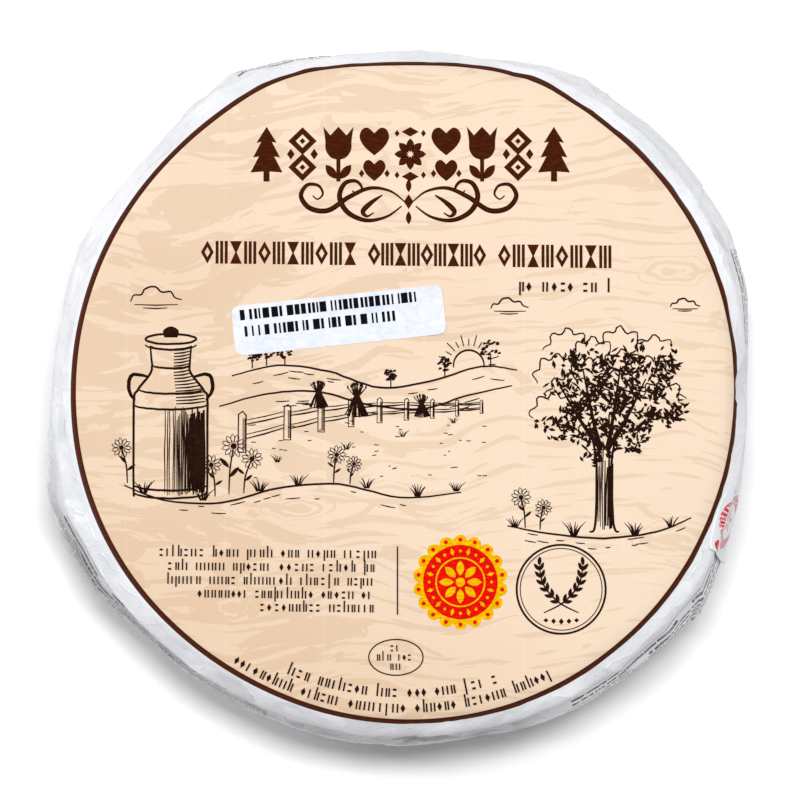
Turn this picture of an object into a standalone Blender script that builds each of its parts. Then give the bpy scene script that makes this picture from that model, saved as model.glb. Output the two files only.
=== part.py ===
"""A wheel of soft cheese shut in its waxed paper wrapper, with two paper stickers on the wrapper.

Metres, +Z up. The wheel lies on its back face with the printed face up and the top of the print towards +Y.
The origin is at the middle of the base, on the surface that the wheel lies on.
"""

import math
import random

import bmesh
import bpy
from mathutils import Matrix, Vector

# The cheese under the paper, as a turned form
WHEEL_HEIGHT = 0.035
CHEESE_RADIUS = 0.0694
FACE_RADIUS = 0.0620
BASE_RADIUS = 0.0600
WAIST_HEIGHT = 0.0160
UPPER_ROUNDNESS = 2.6
LOWER_ROUNDNESS = 2.4

# The corners of the wrapper: angle in degrees from +X, and how far the paper stands out past the cheese
PAPER_CORNERS = (
    (17.5, 0.0036),
    (28.5, 0.0052),
    (42.5, 0.0052),
    (60.0, 0.0050),
    (70.0, 0.0024),
    (106.0, 0.0015),
    (116.5, 0.0043),
    (125.0, 0.0026),
    (153.5, 0.0023),
    (191.0, 0.0025),
    (200.0, 0.0043),
    (215.0, 0.0024),
    (289.0, 0.0014),
    (301.0, 0.0027),
    (318.0, 0.0037),
    (327.0, 0.0042),
    (345.0, 0.0014),
)
WIDEST_DRAWN_SPAN = math.radians(20.0)
CORNER_SOFTNESS = math.radians(1.6)

# Where the shoulder of the cheese falls away sooner than elsewhere
SLUMP_ANGLE = math.radians(90.0)
SLUMP_HALF_WIDTH = math.radians(22.0)
SLUMP_DEPTH = 0.0022
SLUMP_START_RADIUS = 0.0570

# Tucks in the paper down the side
TUCK_COUNT = 26
TUCK_SEED = 11
TUCK_DEPTH = (0.0001, 0.0005)
TUCK_HALF_WIDTH = (math.radians(2.5), math.radians(4.5))
TUCK_SLANT = math.radians(14.0)

# Facets of the solid
STEPS_AROUND = 144
SHOULDER_STEPS = 8
UNDER_STEPS = 7
FACE_RINGS = (0.30, 0.62, 0.86)

# The stickers, and the gap that keeps them off the wrapper
STICKER_THICKNESS = 0.0002
STICKER_GAP = 0.0003

FACE_STICKER_LENGTH = 0.0416
FACE_STICKER_WIDTH = 0.0098
FACE_STICKER_CORNER = 0.0015
FACE_STICKER_CENTRE = (-0.01205, 0.0135)
FACE_STICKER_TURN = math.radians(6.1)
CORNER_STEPS = 5

RIM_STICKER_ANGLE = math.radians(-21.4)
RIM_STICKER_ACROSS = 0.0130
RIM_STICKER_DOWN = 0.0165
RIM_STICKER_START = 0.0048
RIM_STICKER_ROUNDING = 0.30
RIM_STICKER_CELLS = (10, 12)

WRAPPER_LOOK = ("wrapper_paper", (0.88, 0.89, 0.91), 0.42)
FACE_STICKER_LOOK = ("face_sticker_paper", (0.82, 0.87, 0.94), 0.50)
RIM_STICKER_LOOK = ("rim_sticker_paper", (0.86, 0.89, 0.90), 0.40)


def clear_scene():
    for thing in list(bpy.data.objects):
        bpy.data.objects.remove(thing, do_unlink=True)


def plain_material(name, colour, roughness):
    material = bpy.data.materials.new(name)
    material.use_nodes = True
    shader = material.node_tree.nodes["Principled BSDF"]
    shader.inputs["Base Color"].default_value = (*colour, 1.0)
    shader.inputs["Roughness"].default_value = roughness
    shader.inputs["Metallic"].default_value = 0.0
    return material


def add_part(name, bm, look, collection):
    """Turn a bmesh into a named object with its own material."""
    mesh = bpy.data.meshes.new(name)
    bm.to_mesh(mesh)
    bm.free()
    mesh.materials.append(plain_material(*look))
    mesh.shade_smooth()
    part = bpy.data.objects.new(name, mesh)
    collection.objects.link(part)
    return part


def smooth_step(low, high, value):
    share = min(max((value - low) / (high - low), 0.0), 1.0)
    return share * share * (3.0 - 2.0 * share)


def turn_between(angle, centre):
    """Signed angle from centre to angle, between minus pi and pi."""
    return (angle - centre + math.pi) % (2.0 * math.pi) - math.pi


def corner_reach(angle, corner, reach):
    """Paper drawn from one corner straight to the round cheese on both sides of it."""
    spread = math.acos(CHEESE_RADIUS / reach)
    away = abs(turn_between(angle, corner))
    if away >= spread:
        return CHEESE_RADIUS
    return CHEESE_RADIUS / math.cos(spread - away)


def span_reach(angle, first, second):
    """Paper drawn straight between two neighbouring corners."""
    start, start_reach = first
    end, end_reach = second
    span = turn_between(end, start)
    along = turn_between(angle, start)
    if not 0.0 < span <= WIDEST_DRAWN_SPAN or not 0.0 < along < span:
        return CHEESE_RADIUS
    a = Vector((start_reach, 0.0))
    b = Vector((end_reach * math.cos(span), end_reach * math.sin(span)))
    ray = Vector((math.cos(along), math.sin(along)))
    side = b - a
    return (a.x * side.y - a.y * side.x) / (ray.x * side.y - ray.y * side.x)


def sharp_reach(angle):
    corners = [(math.radians(a), CHEESE_RADIUS + out) for a, out in PAPER_CORNERS]
    reaches = [corner_reach(angle, *corner) for corner in corners]
    reaches += [span_reach(angle, a, b) for a, b in zip(corners, corners[1:] + corners[:1])]
    return max(reaches)


def paper_reach(angle):
    """Distance from the axis to the paper at the waist, with the corners slightly rounded."""
    nearby = (-CORNER_SOFTNESS, 0.0, CORNER_SOFTNESS)
    return sum(sharp_reach(angle + turn) for turn in nearby) / len(nearby)


def lay_out_tucks():
    """Angle, depth, half width and slant of each tuck, spread unevenly round the wheel."""
    draw = random.Random(TUCK_SEED)
    tucks = []
    for number in range(TUCK_COUNT):
        angle = 2.0 * math.pi * (number + draw.uniform(-0.35, 0.35)) / TUCK_COUNT
        depth = draw.uniform(*TUCK_DEPTH)
        half_width = draw.uniform(*TUCK_HALF_WIDTH)
        slant = draw.uniform(-TUCK_SLANT, TUCK_SLANT)
        tucks.append((angle, depth, half_width, slant))
    return tucks


def tuck_depth(angle, drop, tucks):
    """How far the tucks pull the paper in, at a share of the way down from the face."""
    pulled = 0.0
    for centre, depth, half_width, slant in tucks:
        away = turn_between(angle, centre + slant * (drop - 0.5)) / half_width
        pulled += depth * math.exp(-away * away)
    return pulled * smooth_step(0.04, 0.35, drop)


def turned_point(station):
    """Radius and height of the plain cheese: 0 is the edge of the face, 1 the waist and 2 the edge of the base."""
    if station <= 1.0:
        turn = 0.5 * math.pi * station
        power = 2.0 / UPPER_ROUNDNESS
        rise = WHEEL_HEIGHT - WAIST_HEIGHT
        radius = FACE_RADIUS + (CHEESE_RADIUS - FACE_RADIUS) * max(math.sin(turn), 0.0) ** power
        return radius, WAIST_HEIGHT + rise * max(math.cos(turn), 0.0) ** power
    turn = 0.5 * math.pi * (2.0 - station)
    power = 2.0 / LOWER_ROUNDNESS
    radius = BASE_RADIUS + (CHEESE_RADIUS - BASE_RADIUS) * max(math.sin(turn), 0.0) ** power
    return radius, WAIST_HEIGHT - WAIST_HEIGHT * max(math.cos(turn), 0.0) ** power


def wrapped_point(angle, radius, height, tucks):
    """Where the paper over one point of the plain cheese lies."""
    inner = FACE_RADIUS if height >= WAIST_HEIGHT else BASE_RADIUS
    out = radius
    if radius > inner:
        stretch = (paper_reach(angle) - inner) / (CHEESE_RADIUS - inner)
        share = (radius - inner) / (CHEESE_RADIUS - inner)
        out = inner + (radius - inner) * stretch
        out -= share * tuck_depth(angle, 1.0 - height / WHEEL_HEIGHT, tucks)
    slump = math.exp(-((turn_between(angle, SLUMP_ANGLE) / SLUMP_HALF_WIDTH) ** 4))
    slump *= smooth_step(SLUMP_START_RADIUS, CHEESE_RADIUS, radius)
    slump *= smooth_step(0.0, WHEEL_HEIGHT, height)
    return Vector((out * math.cos(angle), out * math.sin(angle), height - SLUMP_DEPTH * slump))


def wrapper_at(angle, station, tucks):
    radius, height = turned_point(station)
    return wrapped_point(angle, radius, height, tucks)


def wheel_profile():
    """Half of the turned section, from the middle of the face round the side to the middle of the base."""
    profile = [(0.0, WHEEL_HEIGHT)]
    profile += [(share * FACE_RADIUS, WHEEL_HEIGHT) for share in FACE_RINGS]
    profile += [turned_point(step / SHOULDER_STEPS) for step in range(SHOULDER_STEPS + 1)]
    profile += [turned_point(1.0 + step / UNDER_STEPS) for step in range(1, UNDER_STEPS + 1)]
    profile.append((0.0, 0.0))
    return profile


def wrapped_wheel(collection, tucks):
    bm = bmesh.new()
    section = [bm.verts.new((radius, 0.0, height)) for radius, height in wheel_profile()]
    edges = [bm.edges.new(pair) for pair in zip(section, section[1:])]
    bmesh.ops.spin(
        bm,
        geom=section + edges,
        cent=(0.0, 0.0, 0.0),
        axis=(0.0, 0.0, 1.0),
        angle=2.0 * math.pi,
        steps=STEPS_AROUND,
        use_merge=True,
    )
    bmesh.ops.remove_doubles(bm, verts=bm.verts, dist=1e-6)
    for vert in bm.verts:
        angle = math.atan2(vert.co.y, vert.co.x)
        vert.co = wrapped_point(angle, vert.co.xy.length, vert.co.z, tucks)
    bmesh.ops.recalc_face_normals(bm, faces=bm.faces)
    bmesh.ops.triangulate(bm, faces=bm.faces)
    return add_part("wrapped_wheel", bm, WRAPPER_LOOK, collection)


def face_sticker(collection):
    """A slip of paper with rounded corners, flat on the face."""
    bm = bmesh.new()
    bmesh.ops.create_cube(bm, size=1.0)
    size = Vector((FACE_STICKER_LENGTH, FACE_STICKER_WIDTH, STICKER_THICKNESS))
    bmesh.ops.scale(bm, verts=bm.verts, vec=size)
    upright = [edge for edge in bm.edges if abs(edge.verts[0].co.z - edge.verts[1].co.z) > 0.5 * size.z]
    bmesh.ops.bevel(
        bm,
        geom=upright,
        offset=FACE_STICKER_CORNER,
        affect="EDGES",
        segments=CORNER_STEPS,
        profile=0.5,
        material=-1,
    )
    middle = Vector((*FACE_STICKER_CENTRE, WHEEL_HEIGHT + STICKER_GAP + 0.5 * STICKER_THICKNESS))
    place = Matrix.Translation(middle) @ Matrix.Rotation(FACE_STICKER_TURN, 4, "Z")
    bmesh.ops.transform(bm, matrix=place, verts=bm.verts)
    return add_part("face_sticker", bm, FACE_STICKER_LOOK, collection)


def station_after(distance, angle, tucks):
    """The station that lies a distance along the paper from the edge of the face."""
    steps = 400
    travelled = 0.0
    last = wrapper_at(angle, 0.0, tucks)
    for step in range(1, steps + 1):
        station = 2.0 * step / steps
        point = wrapper_at(angle, station, tucks)
        travelled += (point - last).length
        if travelled >= distance:
            return station
        last = point
    raise ValueError("The sticker is longer than the side of the wheel")


def paper_normal(angle, station, tucks):
    nudge = 1e-3
    round_wheel = wrapper_at(angle + nudge, station, tucks) - wrapper_at(angle - nudge, station, tucks)
    down_side = wrapper_at(angle, station + nudge, tucks) - wrapper_at(angle, station - nudge, tucks)
    return down_side.cross(round_wheel).normalized()


def rim_sticker(collection, tucks):
    """A sticker with rounded corners, bent over the shoulder and down the side."""
    bm = bmesh.new()
    across, down = RIM_STICKER_CELLS
    bmesh.ops.create_grid(bm, x_segments=across, y_segments=down, size=1.0)
    flat = {vert: (vert.co.x, vert.co.y) for vert in bm.verts}
    for vert, (x, y) in flat.items():
        along = 0.5 * RIM_STICKER_ACROSS * x * math.sqrt(1.0 - RIM_STICKER_ROUNDING * y * y)
        below = 0.5 * RIM_STICKER_DOWN * (1.0 - y * math.sqrt(1.0 - RIM_STICKER_ROUNDING * x * x))
        station = station_after(RIM_STICKER_START + below, RIM_STICKER_ANGLE, tucks)
        angle = RIM_STICKER_ANGLE + along / CHEESE_RADIUS
        normal = paper_normal(angle, station, tucks)
        vert.co = wrapper_at(angle, station, tucks) + normal * STICKER_GAP
    sheet = list(bm.faces)
    bmesh.ops.recalc_face_normals(bm, faces=sheet)
    bmesh.ops.solidify(bm, geom=sheet, thickness=STICKER_THICKNESS)
    bmesh.ops.recalc_face_normals(bm, faces=bm.faces)
    bmesh.ops.triangulate(bm, faces=bm.faces)
    return add_part("rim_sticker", bm, RIM_STICKER_LOOK, collection)


def main():
    clear_scene()
    collection = bpy.data.collections.new("wrapped_cheese_wheel")
    bpy.context.scene.collection.children.link(collection)
    tucks = lay_out_tucks()
    wrapped_wheel(collection, tucks)
    face_sticker(collection)
    rim_sticker(collection, tucks)


main()
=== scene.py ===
"""Dress a wrapped wheel of soft cheese: creased paper, a printed face, two stickers and a pale studio.

Metres, +Z up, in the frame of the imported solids. The wheel lies on its back with the printed face up and the
top of the print towards +Y. Places on the print are in millimetres from the middle of the wheel.
"""

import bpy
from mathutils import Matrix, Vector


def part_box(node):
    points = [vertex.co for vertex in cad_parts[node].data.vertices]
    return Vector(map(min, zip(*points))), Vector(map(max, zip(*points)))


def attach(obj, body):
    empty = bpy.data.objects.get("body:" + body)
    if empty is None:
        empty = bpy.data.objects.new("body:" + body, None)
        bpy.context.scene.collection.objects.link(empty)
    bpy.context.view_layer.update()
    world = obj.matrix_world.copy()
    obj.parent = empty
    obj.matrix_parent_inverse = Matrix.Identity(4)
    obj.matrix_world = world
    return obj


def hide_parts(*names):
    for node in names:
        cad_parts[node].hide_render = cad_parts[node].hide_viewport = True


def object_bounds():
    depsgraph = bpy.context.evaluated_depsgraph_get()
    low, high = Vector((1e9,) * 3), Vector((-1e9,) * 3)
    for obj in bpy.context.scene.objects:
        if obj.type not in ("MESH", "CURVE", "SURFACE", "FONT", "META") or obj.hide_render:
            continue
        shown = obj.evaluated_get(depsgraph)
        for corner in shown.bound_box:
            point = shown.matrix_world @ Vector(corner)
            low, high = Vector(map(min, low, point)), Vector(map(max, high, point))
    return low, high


bl_info = {
    "name": "Wrapped Cheese Wheel",
    "version": (1, 0, 0),
    "blender": (4, 5, 0),
    "location": "View3D > Sidebar > Cheese Wheel",
    "description": "Creased paper wrapper, printed face, stickers and studio for a wheel of soft cheese",
    "category": "Object",
}

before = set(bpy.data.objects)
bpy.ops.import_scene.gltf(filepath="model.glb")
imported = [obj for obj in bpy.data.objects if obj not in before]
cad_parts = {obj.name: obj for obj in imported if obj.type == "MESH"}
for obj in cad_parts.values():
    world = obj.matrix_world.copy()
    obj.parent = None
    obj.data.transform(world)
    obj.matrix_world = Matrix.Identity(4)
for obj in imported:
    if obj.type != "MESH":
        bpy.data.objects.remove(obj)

import math
import random

import bmesh
import bpy
import numpy as np
from bpy.props import FloatProperty, FloatVectorProperty, IntProperty, PointerProperty
from mathutils import Matrix, Vector, geometry
from mathutils.bvhtree import BVHTree

CAD_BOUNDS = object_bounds()
WHEEL_LOW, WHEEL_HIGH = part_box("wrapped_wheel")
MM = 0.001
TAU = 2.0 * math.pi

# The cheese under the paper, as a turned form, repeated from the solids
WHEEL_HEIGHT = WHEEL_HIGH[2]
CHEESE_RADIUS = 69.4 * MM
FACE_RADIUS = 62.0 * MM
BASE_RADIUS = 60.0 * MM
WAIST_HEIGHT = 16.0 * MM
UPPER_ROUNDNESS = 2.6
LOWER_ROUNDNESS = 2.4
GIRTH = TAU * CHEESE_RADIUS / MM

# The corners of the wrapper: angle in degrees from +X, and how far the paper stands out past the cheese
PAPER_CORNERS = (
    (17.5, 3.6 * MM),
    (28.5, 5.2 * MM),
    (42.5, 5.2 * MM),
    (60.0, 5.0 * MM),
    (70.0, 2.4 * MM),
    (106.0, 1.5 * MM),
    (116.5, 4.3 * MM),
    (125.0, 2.6 * MM),
    (153.5, 2.3 * MM),
    (191.0, 2.5 * MM),
    (200.0, 4.3 * MM),
    (215.0, 2.4 * MM),
    (289.0, 1.4 * MM),
    (301.0, 2.7 * MM),
    (318.0, 3.7 * MM),
    (327.0, 4.2 * MM),
    (345.0, 1.4 * MM),
)
WIDEST_DRAWN_SPAN = math.radians(20.0)
CORNER_SOFTNESS = math.radians(1.0)

SLUMP_ANGLE = math.radians(90.0)
SLUMP_HALF_WIDTH = math.radians(22.0)
SLUMP_DEPTH = 2.2 * MM
SLUMP_START_RADIUS = 57.0 * MM

TUCK_COUNT = 26
TUCK_SEED = 11
TUCK_DEPTH = (0.1 * MM, 0.5 * MM)
TUCK_HALF_WIDTH = (math.radians(2.5), math.radians(4.5))
TUCK_SLANT = math.radians(14.0)

# The fine mesh of the wrapper: a sector is turned, then doubled until it closes
SECTOR_STEPS = 30
DOUBLINGS = 5
COLUMNS = SECTOR_STEPS * 2**DOUBLINGS
FACE_RINGS = tuple(r * MM for r in (14.0, 28.0, 40.0, 48.0, 54.0, 58.0, 60.5))
BASE_RINGS = tuple(
    r * MM for r in (58.5, 56.5, 54.0, 51.0, 47.0, 43.0, 38.0, 33.0, 28.0, 22.0, 16.0, 10.0, 5.0))
SHOULDER_REACH = 14.5 * MM
SHOULDER_SPACING = 0.36 * MM
SIDE_SPACING = 0.74 * MM

# Rows of creases round the paper, in millimetres: distance down from the face's edge, spacing, jitter down,
# lowest and highest swell, and whether a fold runs along the row
CREASE_ROWS = (
    (0.0, 4.0, 0.0, 0.00, 0.00, True),
    (3.9, 4.5, 0.2, -0.12, 0.02, False),
    (7.6, 10.0, 0.3, 0.55, 0.95, True),
    (10.6, 8.0, 0.6, -0.65, -0.10, False),
    (15.0, 9.0, 1.0, -0.25, 0.15, False),
    (20.5, 9.0, 1.2, -0.35, 0.05, False),
    (26.5, 8.0, 1.5, -1.20, 0.20, False),
    (32.5, 7.0, 1.8, -1.30, 0.30, False),
    (38.5, 6.5, 1.5, -0.90, 0.25, False),
    (43.5, 6.0, 0.6, -0.05, 0.05, True),
    (48.0, 6.0, 0.6, 0.00, 0.00, True),
)
CREASE_SEED = 23
ROUND_JITTER = 0.38
CRUMPLE_SPACING = 3.4
CRUMPLE_SWELL = 0.16
FLATNESS = 0.92
CREASE_START = (3.6, 4.6)
# Share of the crumple's swell at distances down from the face's edge
CRUMPLE_SHARES = ((0.0, 11.0, 13.0, 23.0, 28.0), (1.2, 1.0, 0.35, 0.35, 1.9))

# Flaps of folded paper: angle in degrees, slant in degrees for each millimetre down, height of the step
FLAPS = (
    (29.0, 0.35, 0.40),
    (61.0, -0.30, 0.35),
    (84.0, 0.20, 0.22),
    (117.5, 0.45, 0.38),
    (141.0, -0.35, 0.26),
    (154.0, 0.30, 0.36),
    (180.0, 0.25, 0.24),
    (191.0, -0.30, 0.32),
    (201.5, -0.40, 0.42),
    (247.0, 0.50, 0.36),
    (276.0, -0.35, 0.34),
    (303.0, 0.45, 0.38),
    (329.0, -0.30, 0.40),
    (350.0, 0.30, 0.26),
)
FLAP_RISE = 0.6
FLAP_FADE = 10.0

PLEAT_COUNT = 22
PLEAT_DEPTH = 0.55 * MM
PLEAT_SWIRL = math.radians(26.0)
PLEAT_START = (6.0 * MM, 22.0 * MM)

# The print, on the paper laid out flat
PRINT_MIDDLE = (1.0, -0.2)
RING_RADIUS = 65.3
RING_HALF_WIDTH = 0.55
INK_LIFT = 0.03
EDGE_INK_LIFT = 0.14
INK_RELIEF = 0.01

# How far the ring strays outwards where the paper is drawn over the edge: angle in degrees and millimetres
RING_DRIFT = (
    (0.0, 0.25),
    (20.0, 0.20),
    (40.0, 0.50),
    (55.0, 0.75),
    (70.0, 2.10),
    (80.0, 1.10),
    (90.0, -0.30),
    (100.0, 1.15),
    (110.0, 1.95),
    (120.0, 0.70),
    (130.0, 0.20),
    (150.0, -0.10),
    (180.0, -0.15),
    (200.0, 0.0),
    (215.0, -0.15),
    (230.0, -0.55),
    (245.0, -0.70),
    (260.0, -0.30),
    (285.0, 0.20),
    (320.0, 0.0),
    (340.0, -0.25),
    (350.0, 0.0),
)
DRIFT_START = 50.0
DRIFT_END = 63.5
DRIFT_SOFTNESS = 6.0

# Knots in the printed wood: place, half length and half height
KNOTS = (
    (53.5, 23.0, 7.0, 3.0),
    (48.0, 41.0, 5.0, 2.4),
    (-33.0, -43.0, 8.5, 3.2),
    (54.0, -29.5, 9.0, 3.8),
    (-40.0, 36.0, 9.0, 3.4),
    (-27.0, 29.0, 7.0, 2.2),
    (30.0, 3.0, 6.0, 1.8),
    (-20.0, -23.5, 8.0, 2.2),
)
FACE_FOLD_START = -35.2
FACE_FOLD_PITCH = 19.5

# Sectors of the side that carry small print, in degrees
BLOCK_SECTORS = ((-160.0, -113.0), (-63.0, -22.0))
SPECK_SECTORS = ((8.0, 24.0), (98.0, 118.0))
SIDE_PRINT_START = 6.6
SIDE_ROW_PITCH = 2.1
SIDE_ROWS = 8
# Where painted shade darkens the paper: middle and half width in degrees, and how far from the ring it starts
PAINTED_SHADE_SECTORS = ((-91.0, 22.0, 1.0), (-137.0, 28.0, 4.6))
PAINTED_SHADE_FADE = (12.0, 24.0)
# Everything lower than this is under the wheel
UNDERSIDE_HEIGHT = 2.0 * MM
FAR_FROM_PRINT = 200.0

# The photograph's frame
FRAME_WIDTH = 160.0 * MM
SENSOR_WIDTH = 36.0
AIM_DROP = 0.4 * MM
CLIP_START = 0.05

# The studio: place and size of each light, the floor's half width and the colour of the sky
KEY_LIGHT = ((0.04, 0.12, 1.15), (0.4, 0.2))
LEFT_LIGHT = ((-0.80, 0.25, 0.55), (0.3, 0.3))
RIGHT_LIGHT = ((0.62, 0.20, 0.8), (0.3, 0.3))
FLOOR_REACH = 2.0
SKY_COLOUR = (0.99, 0.995, 1.0, 1.0)


def srgb(red, green, blue):
    """An 8-bit sRGB colour as linear values."""
    def linear(value):
        value /= 255.0
        return value / 12.92 if value <= 0.04045 else ((value + 0.055) / 1.055) ** 2.4
    return linear(red), linear(green), linear(blue)


# Settings


def colour_setting(name, description, colour):
    return FloatVectorProperty(
        name=name, description=description, subtype="COLOR", size=3, min=0.0, max=1.0, default=colour)


class PaperSettings(bpy.types.PropertyGroup):
    paper: colour_setting("Paper", "Colour of the bare waxed paper", srgb(233, 234, 237))
    shade: colour_setting("Paper shade", "Colour of the duller patches of the paper", srgb(222, 224, 228))
    # Painted shade: the colour the paper is darkened to at the bottom and lower left of the rim, where it
    # faces away from the light
    painted_shade: colour_setting("Painted shade", "How dark the painted shade makes the paper", (0.50, 0.45, 0.46))
    crease_height: FloatProperty(
        name="Crease height", description="How strongly the creases push the paper in and out", default=1.0,
        min=0.0, max=2.0, subtype="FACTOR")
    crease_seed: IntProperty(
        name="Crease seed", description="Lays out the creases", default=CREASE_SEED, min=0)


class PrintSettings(bpy.types.PropertyGroup):
    wood: colour_setting("Wood", "Light tone of the printed wood", srgb(232, 210, 187))
    grain: colour_setting("Grain", "Dark tone of the printed wood", srgb(223, 198, 172))
    ring: colour_setting("Ring", "Colour of the ring round the print", srgb(84, 38, 21))
    bold_ink: colour_setting("Bold ink", "Ink of the frieze and the flourish", srgb(72, 30, 14))
    fine_ink: colour_setting("Fine ink", "Ink of the drawing and the small rows", srgb(44, 24, 17))
    seal_red: colour_setting("Seal red", "Red of the round seal", srgb(236, 20, 12))
    seal_yellow: colour_setting("Seal yellow", "Yellow of the round seal", srgb(250, 188, 8))


class StickerSettings(bpy.types.PropertyGroup):
    slip_paper: colour_setting("Slip", "Paper of the slip on the face", srgb(219, 222, 228))
    slip_ink: colour_setting("Slip ink", "Ink of the slip on the face", srgb(20, 20, 24))
    rim_paper: colour_setting("Rim sticker", "Paper of the sticker on the rim", srgb(228, 233, 238))
    rim_ink: colour_setting("Rim ink", "Ink of the sticker on the rim", srgb(214, 22, 34))
    thickness: FloatProperty(
        name="Thickness", description="Thickness of both stickers", default=0.12 * MM, min=0.05 * MM,
        max=0.3 * MM, unit="LENGTH")


class StudioSettings(bpy.types.PropertyGroup):
    camera_distance: FloatProperty(
        name="Camera distance", description="From the camera to the wheel's waist", default=1.0, min=0.3,
        unit="LENGTH")
    camera_elevation: FloatProperty(
        name="Camera elevation", description="Angle of the view above the floor", default=math.radians(84.5),
        min=0.0, max=0.5 * math.pi, unit="ROTATION")
    key_power: FloatProperty(
        name="Key light", description="Power of the key light", default=10.5, min=0.0, unit="POWER")
    side_power: FloatProperty(
        name="Left light", description="Power of the light at the left", default=2.5, min=0.0, unit="POWER")
    right_power: FloatProperty(
        name="Right light", description="Power of the light at the right", default=0.95, min=0.0,
        unit="POWER")
    sky: FloatProperty(name="Sky", description="Strength of the light from all round", default=0.20, min=0.0)


# Shape of the wheel


def smooth_step(low, high, value):
    share = np.clip((value - low) / (high - low), 0.0, 1.0)
    return share * share * (3.0 - 2.0 * share)


def turn_between(angle, centre):
    """Signed angle from centre to angle, between minus pi and pi."""
    return (angle - centre + math.pi) % TAU - math.pi


def corner_reach(angles, corner, reach):
    """Paper drawn from one corner straight to the round cheese on both sides of it."""
    spread = math.acos(CHEESE_RADIUS / reach)
    away = np.abs(turn_between(angles, corner))
    return CHEESE_RADIUS / np.cos(np.maximum(spread - away, 0.0))


def span_reach(angles, first, second):
    """Paper drawn straight between two neighbouring corners."""
    span = turn_between(second[0], first[0])
    if not 0.0 < span <= WIDEST_DRAWN_SPAN:
        return np.full_like(angles, CHEESE_RADIUS)
    along = turn_between(angles, first[0])
    ax = first[1]
    bx, by = second[1] * math.cos(span), second[1] * math.sin(span)
    across = np.cos(along) * by - np.sin(along) * (bx - ax)
    inside = (along > 0.0) & (along < span)
    return np.where(inside, ax * by / np.where(inside, across, 1.0), CHEESE_RADIUS)


def sharp_reach(angles):
    corners = [(math.radians(a), CHEESE_RADIUS + out) for a, out in PAPER_CORNERS]
    reaches = [corner_reach(angles, *corner) for corner in corners]
    reaches += [span_reach(angles, a, b) for a, b in zip(corners, corners[1:] + corners[:1])]
    return np.max(reaches, axis=0)


def paper_reach(angles):
    """Distance from the axis to the paper at the waist, with the corners slightly rounded."""
    nearby = (-CORNER_SOFTNESS, 0.0, CORNER_SOFTNESS)
    return sum(sharp_reach(angles + turn) for turn in nearby) / len(nearby)


def lay_out_tucks():
    """Angle, depth, half width and slant of each tuck, spread unevenly round the wheel."""
    draw = random.Random(TUCK_SEED)
    tucks = []
    for number in range(TUCK_COUNT):
        angle = TAU * (number + draw.uniform(-0.35, 0.35)) / TUCK_COUNT
        depth = draw.uniform(*TUCK_DEPTH)
        half_width = draw.uniform(*TUCK_HALF_WIDTH)
        slant = draw.uniform(-TUCK_SLANT, TUCK_SLANT)
        tucks.append((angle, depth, half_width, slant))
    return tucks


TUCKS = lay_out_tucks()


def tuck_depth(angles, drop):
    """How far the tucks pull the paper in, at a share of the way down from the face."""
    pulled = 0.0
    for centre, depth, half_width, slant in TUCKS:
        away = turn_between(angles, centre + slant * (drop - 0.5)) / half_width
        pulled = pulled + depth * np.exp(-away * away)
    return pulled * smooth_step(0.04, 0.35, drop)


def turned_point(station):
    """Radius and height of the plain cheese: 0 is the face's edge, 1 the waist and 2 the base's edge."""
    if station <= 1.0:
        turn = 0.5 * math.pi * station
        power = 2.0 / UPPER_ROUNDNESS
        rise = WHEEL_HEIGHT - WAIST_HEIGHT
        radius = FACE_RADIUS + (CHEESE_RADIUS - FACE_RADIUS) * max(math.sin(turn), 0.0) ** power
        return radius, WAIST_HEIGHT + rise * max(math.cos(turn), 0.0) ** power
    turn = 0.5 * math.pi * (2.0 - station)
    power = 2.0 / LOWER_ROUNDNESS
    radius = BASE_RADIUS + (CHEESE_RADIUS - BASE_RADIUS) * max(math.sin(turn), 0.0) ** power
    return radius, WAIST_HEIGHT - WAIST_HEIGHT * max(math.cos(turn), 0.0) ** power


def wrapped_points(angles, radii, heights):
    """Where the paper over points of the plain cheese lies, as an array of x, y, z."""
    inner = np.where(heights >= WAIST_HEIGHT, FACE_RADIUS, BASE_RADIUS)
    beyond = np.maximum(radii - inner, 0.0)
    share = beyond / (CHEESE_RADIUS - inner)
    out = radii + share * (paper_reach(angles) - CHEESE_RADIUS)
    out = out - share * tuck_depth(angles, 1.0 - heights / WHEEL_HEIGHT)
    slump = np.exp(-((turn_between(angles, SLUMP_ANGLE) / SLUMP_HALF_WIDTH) ** 4))
    slump = slump * smooth_step(SLUMP_START_RADIUS, CHEESE_RADIUS, radii)
    slump = slump * smooth_step(0.0, WHEEL_HEIGHT, heights)
    return np.stack([out * np.cos(angles), out * np.sin(angles), heights - SLUMP_DEPTH * slump], axis=-1)


def side_section():
    """Points of the turned section down the side, close together on the shoulder and wider apart below."""
    fine = np.array([turned_point(2.0 * step / 4000) for step in range(4001)])
    lengths = np.concatenate([[0.0], np.cumsum(np.linalg.norm(np.diff(fine, axis=0), axis=1))])
    upper = np.arange(0.0, SHOULDER_REACH, SHOULDER_SPACING)
    lower = np.linspace(SHOULDER_REACH, lengths[-1], round((lengths[-1] - SHOULDER_REACH) / SIDE_SPACING))
    wanted = np.concatenate([upper, lower])
    return list(zip(np.interp(wanted, lengths, fine[:, 0]), np.interp(wanted, lengths, fine[:, 1])))


def wheel_section():
    """The turned section of the plain cheese, from the middle of the face to the middle of the base."""
    section = [(0.0, WHEEL_HEIGHT)]
    section += [(radius, WHEEL_HEIGHT) for radius in FACE_RINGS]
    section += side_section()
    section += [(radius, 0.0) for radius in BASE_RINGS]
    section.append((0.0, 0.0))
    return np.array(section)


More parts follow.
